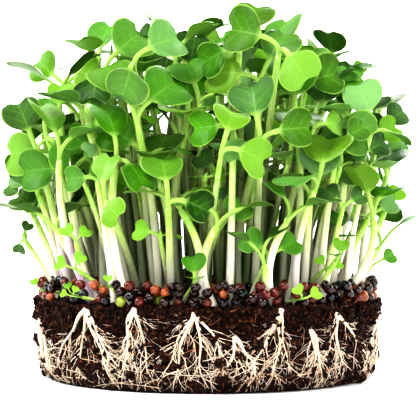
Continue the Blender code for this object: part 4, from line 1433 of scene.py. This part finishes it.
def buildRoots():
    draw = random.Random(61)
    skin = rootMaterial()
    main, fine = Heap(), Heap()
    crowns = [[(math.radians(place[0]), place[1] * mm) for place in row] for row in frontRoots]
    for angle in range(80, 296, 15):
        crown = (math.radians(angle + draw.uniform(-5, 5)), draw.uniform(14, 20) * mm)
        ends = [(crown[0] + math.radians(draw.uniform(-20, 20)), draw.uniform(1, 6) * mm) for _ in range(3)]
        crowns.append([crown, *ends])
    for crown, *ends in crowns:
        for end in ends:
            thick = rootLook["taproot"][0] * draw.uniform(0.6, 1.05)
            line = addRoot(main, crown, end, thick, rootLook["taproot"][1], draw, 22, 8, 1.0, 0.0, 1.0)
            count = rootLook["lateralsPerTaproot"]
            for lateral in branchOff(main, line, count, (16, 44), (4, 12), rootLook["lateral"], draw):
                branchOff(fine, lateral, 3, (18, 48), (1.5, 6), rootLook["hair"], draw, 7, 4)
    for _ in range(rootLook["net"]):  # long thin roots that circle the foot
        start = (draw.uniform(0, math.tau), draw.uniform(0.6, 9.0) * mm)
        end = (start[0] + draw.uniform(-0.5, 0.5), start[1] + draw.uniform(-5, 3) * mm)
        end = (end[0], limit(end[1], 0.5 * mm, 9 * mm))
        addRoot(fine, start, end, draw.uniform(0.09, 0.2), 0.07, draw, 12, 4, 1.5, 0.2 * mm, 0.6)
    for _ in range(rootLook["hairs"]):
        start = (draw.uniform(0, math.tau), 0.6 * mm + 16 * mm * draw.random() ** 1.8)
        turn, length = draw.uniform(0, math.tau), draw.uniform(1.5, 5) * mm
        end = (start[0] + math.sin(turn) * length / plug["radius"], start[1] + math.cos(turn) * length)
        end = (end[0], limit(end[1], 0.5 * mm, 18 * mm))
        addRoot(fine, start, end, rootLook["hair"][0], rootLook["hair"][1], draw, 6, 3, 1.6, 0.35 * mm)
    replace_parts(rideSlot(addPiece("taproots", main.mesh("taproots"), [skin])), "root_web")
    rideSlot(addPiece("rootHairs", fine.mesh("rootHairs"), [skin]))


# Seeds and shed hulls lying on the mix: dry coats with a hard eggshell gloss, black to tan
seedLook = {
    "kinds": (  # name, colour, share, roughness
        ("blackSeeds", "050508", 0.20, 0.12),
        ("darkSeeds", "240a06", 0.34, 0.20),
        ("rustSeeds", "5a1a0b", 0.28, 0.24),
        ("tanSeeds", "8a431c", 0.14, 0.32),
        ("oliveSeeds", "76802c", 0.04, 0.36),
    ),
    "blotch": 0.9 * mm,
    "pit": 0.28 * mm,
    "radius": (1.15, 1.75),
    "rimShare": 0.8,
    "draws": 6500,
    "wanted": 520,
}


def seedMaterial(name, shade, roughness):
    made, tree = newMaterial(name)
    blotch = texture(tree, "ShaderNodeTexNoise", seedLook["blotch"], Detail=3.0)[0]
    pits = texture(tree, "ShaderNodeTexVoronoi", seedLook["pit"])[0]
    dark = (*(part * 0.45 for part in colour(shade)[:3]), 1.0)
    light = (*(min(1.0, part * 1.5 + 0.01) for part in colour(shade)[:3]), 1.0)
    base = addNode(tree, "ShaderNodeValToRGB", {
        0: blotch, "stops": [(0.35, dark), (0.5, colour(shade)), (0.7, light)],
    })
    addCoat(tree, {
        "Roughness": roughness, "IOR": 1.5, "Base Color": base.outputs[0],
        "Normal": bumpOf(tree, 0.25, 0.05 * mm, pits),
    })
    return made


def buildSeeds():
    draw = random.Random(71)
    placed = np.zeros((0, 4))
    heights = np.linspace(plug["height"], plug["height"] + 7 * mm, 8)
    standing = np.vstack([stemPath(seedling, heights) for seedling in everyone])
    for _ in range(seedLook["draws"]):
        size = draw.uniform(*seedLook["radius"]) * mm
        angle = draw.uniform(0, math.tau)
        layer = draw.random()
        inwards = 0.0150 * draw.random() ** 1.5 if layer < seedLook["rimShare"] else 0.040 * draw.random()
        radius = plug["radius"] - 0.4 * mm - inwards
        height = plug["height"] + size * 0.75
        spot = onRing(radius, angle, height)
        if (np.linalg.norm(standing - spot, axis=1) < size + 0.75 * mm).any():
            continue
        under = placed[np.linalg.norm(placed[:, :2] - spot[:2], axis=1) < placed[:, 3] + size]
        if len(under):
            apartSquared = [math.dist(other[:2], spot[:2]) ** 2 for other in under]
            top = max(
                other[2] + math.sqrt(max(0.0, (other[3] + size) ** 2 - gap))
                for other, gap in zip(under, apartSquared)
            )
            if top > plug["height"] + 5.2 * mm or draw.random() < 0.35:
                continue
            spot[2] = max(height, top - 0.2 * mm)
        placed = np.vstack([placed, (*spot, size)])
        if len(placed) == seedLook["wanted"]:
            break
    shapes = lumpShapes(2, 14, 0.22, 9)
    heaps = {kind[0]: Heap() for kind in seedLook["kinds"]}
    names = [kind[0] for kind in seedLook["kinds"]]
    shares = [kind[2] for kind in seedLook["kinds"]]
    for seed in placed:
        addLump(heaps[draw.choices(names, shares)[0]], shapes, seed[:3], seed[3], 0.82, draw)
    for name, shade, _, roughness in seedLook["kinds"]:
        piece = addPiece(name, heaps[name].mesh(name), [seedMaterial(name + "Coat", shade, roughness)])
        rideSlot(piece)
        if name == "rustSeeds":
            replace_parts(piece, "seed_hulls")
    print("seeds on the mix:", len(placed))


buildSoil()
buildCrumbs()
buildRoots()
buildSeeds()
print("mix, roots and seeds laid")
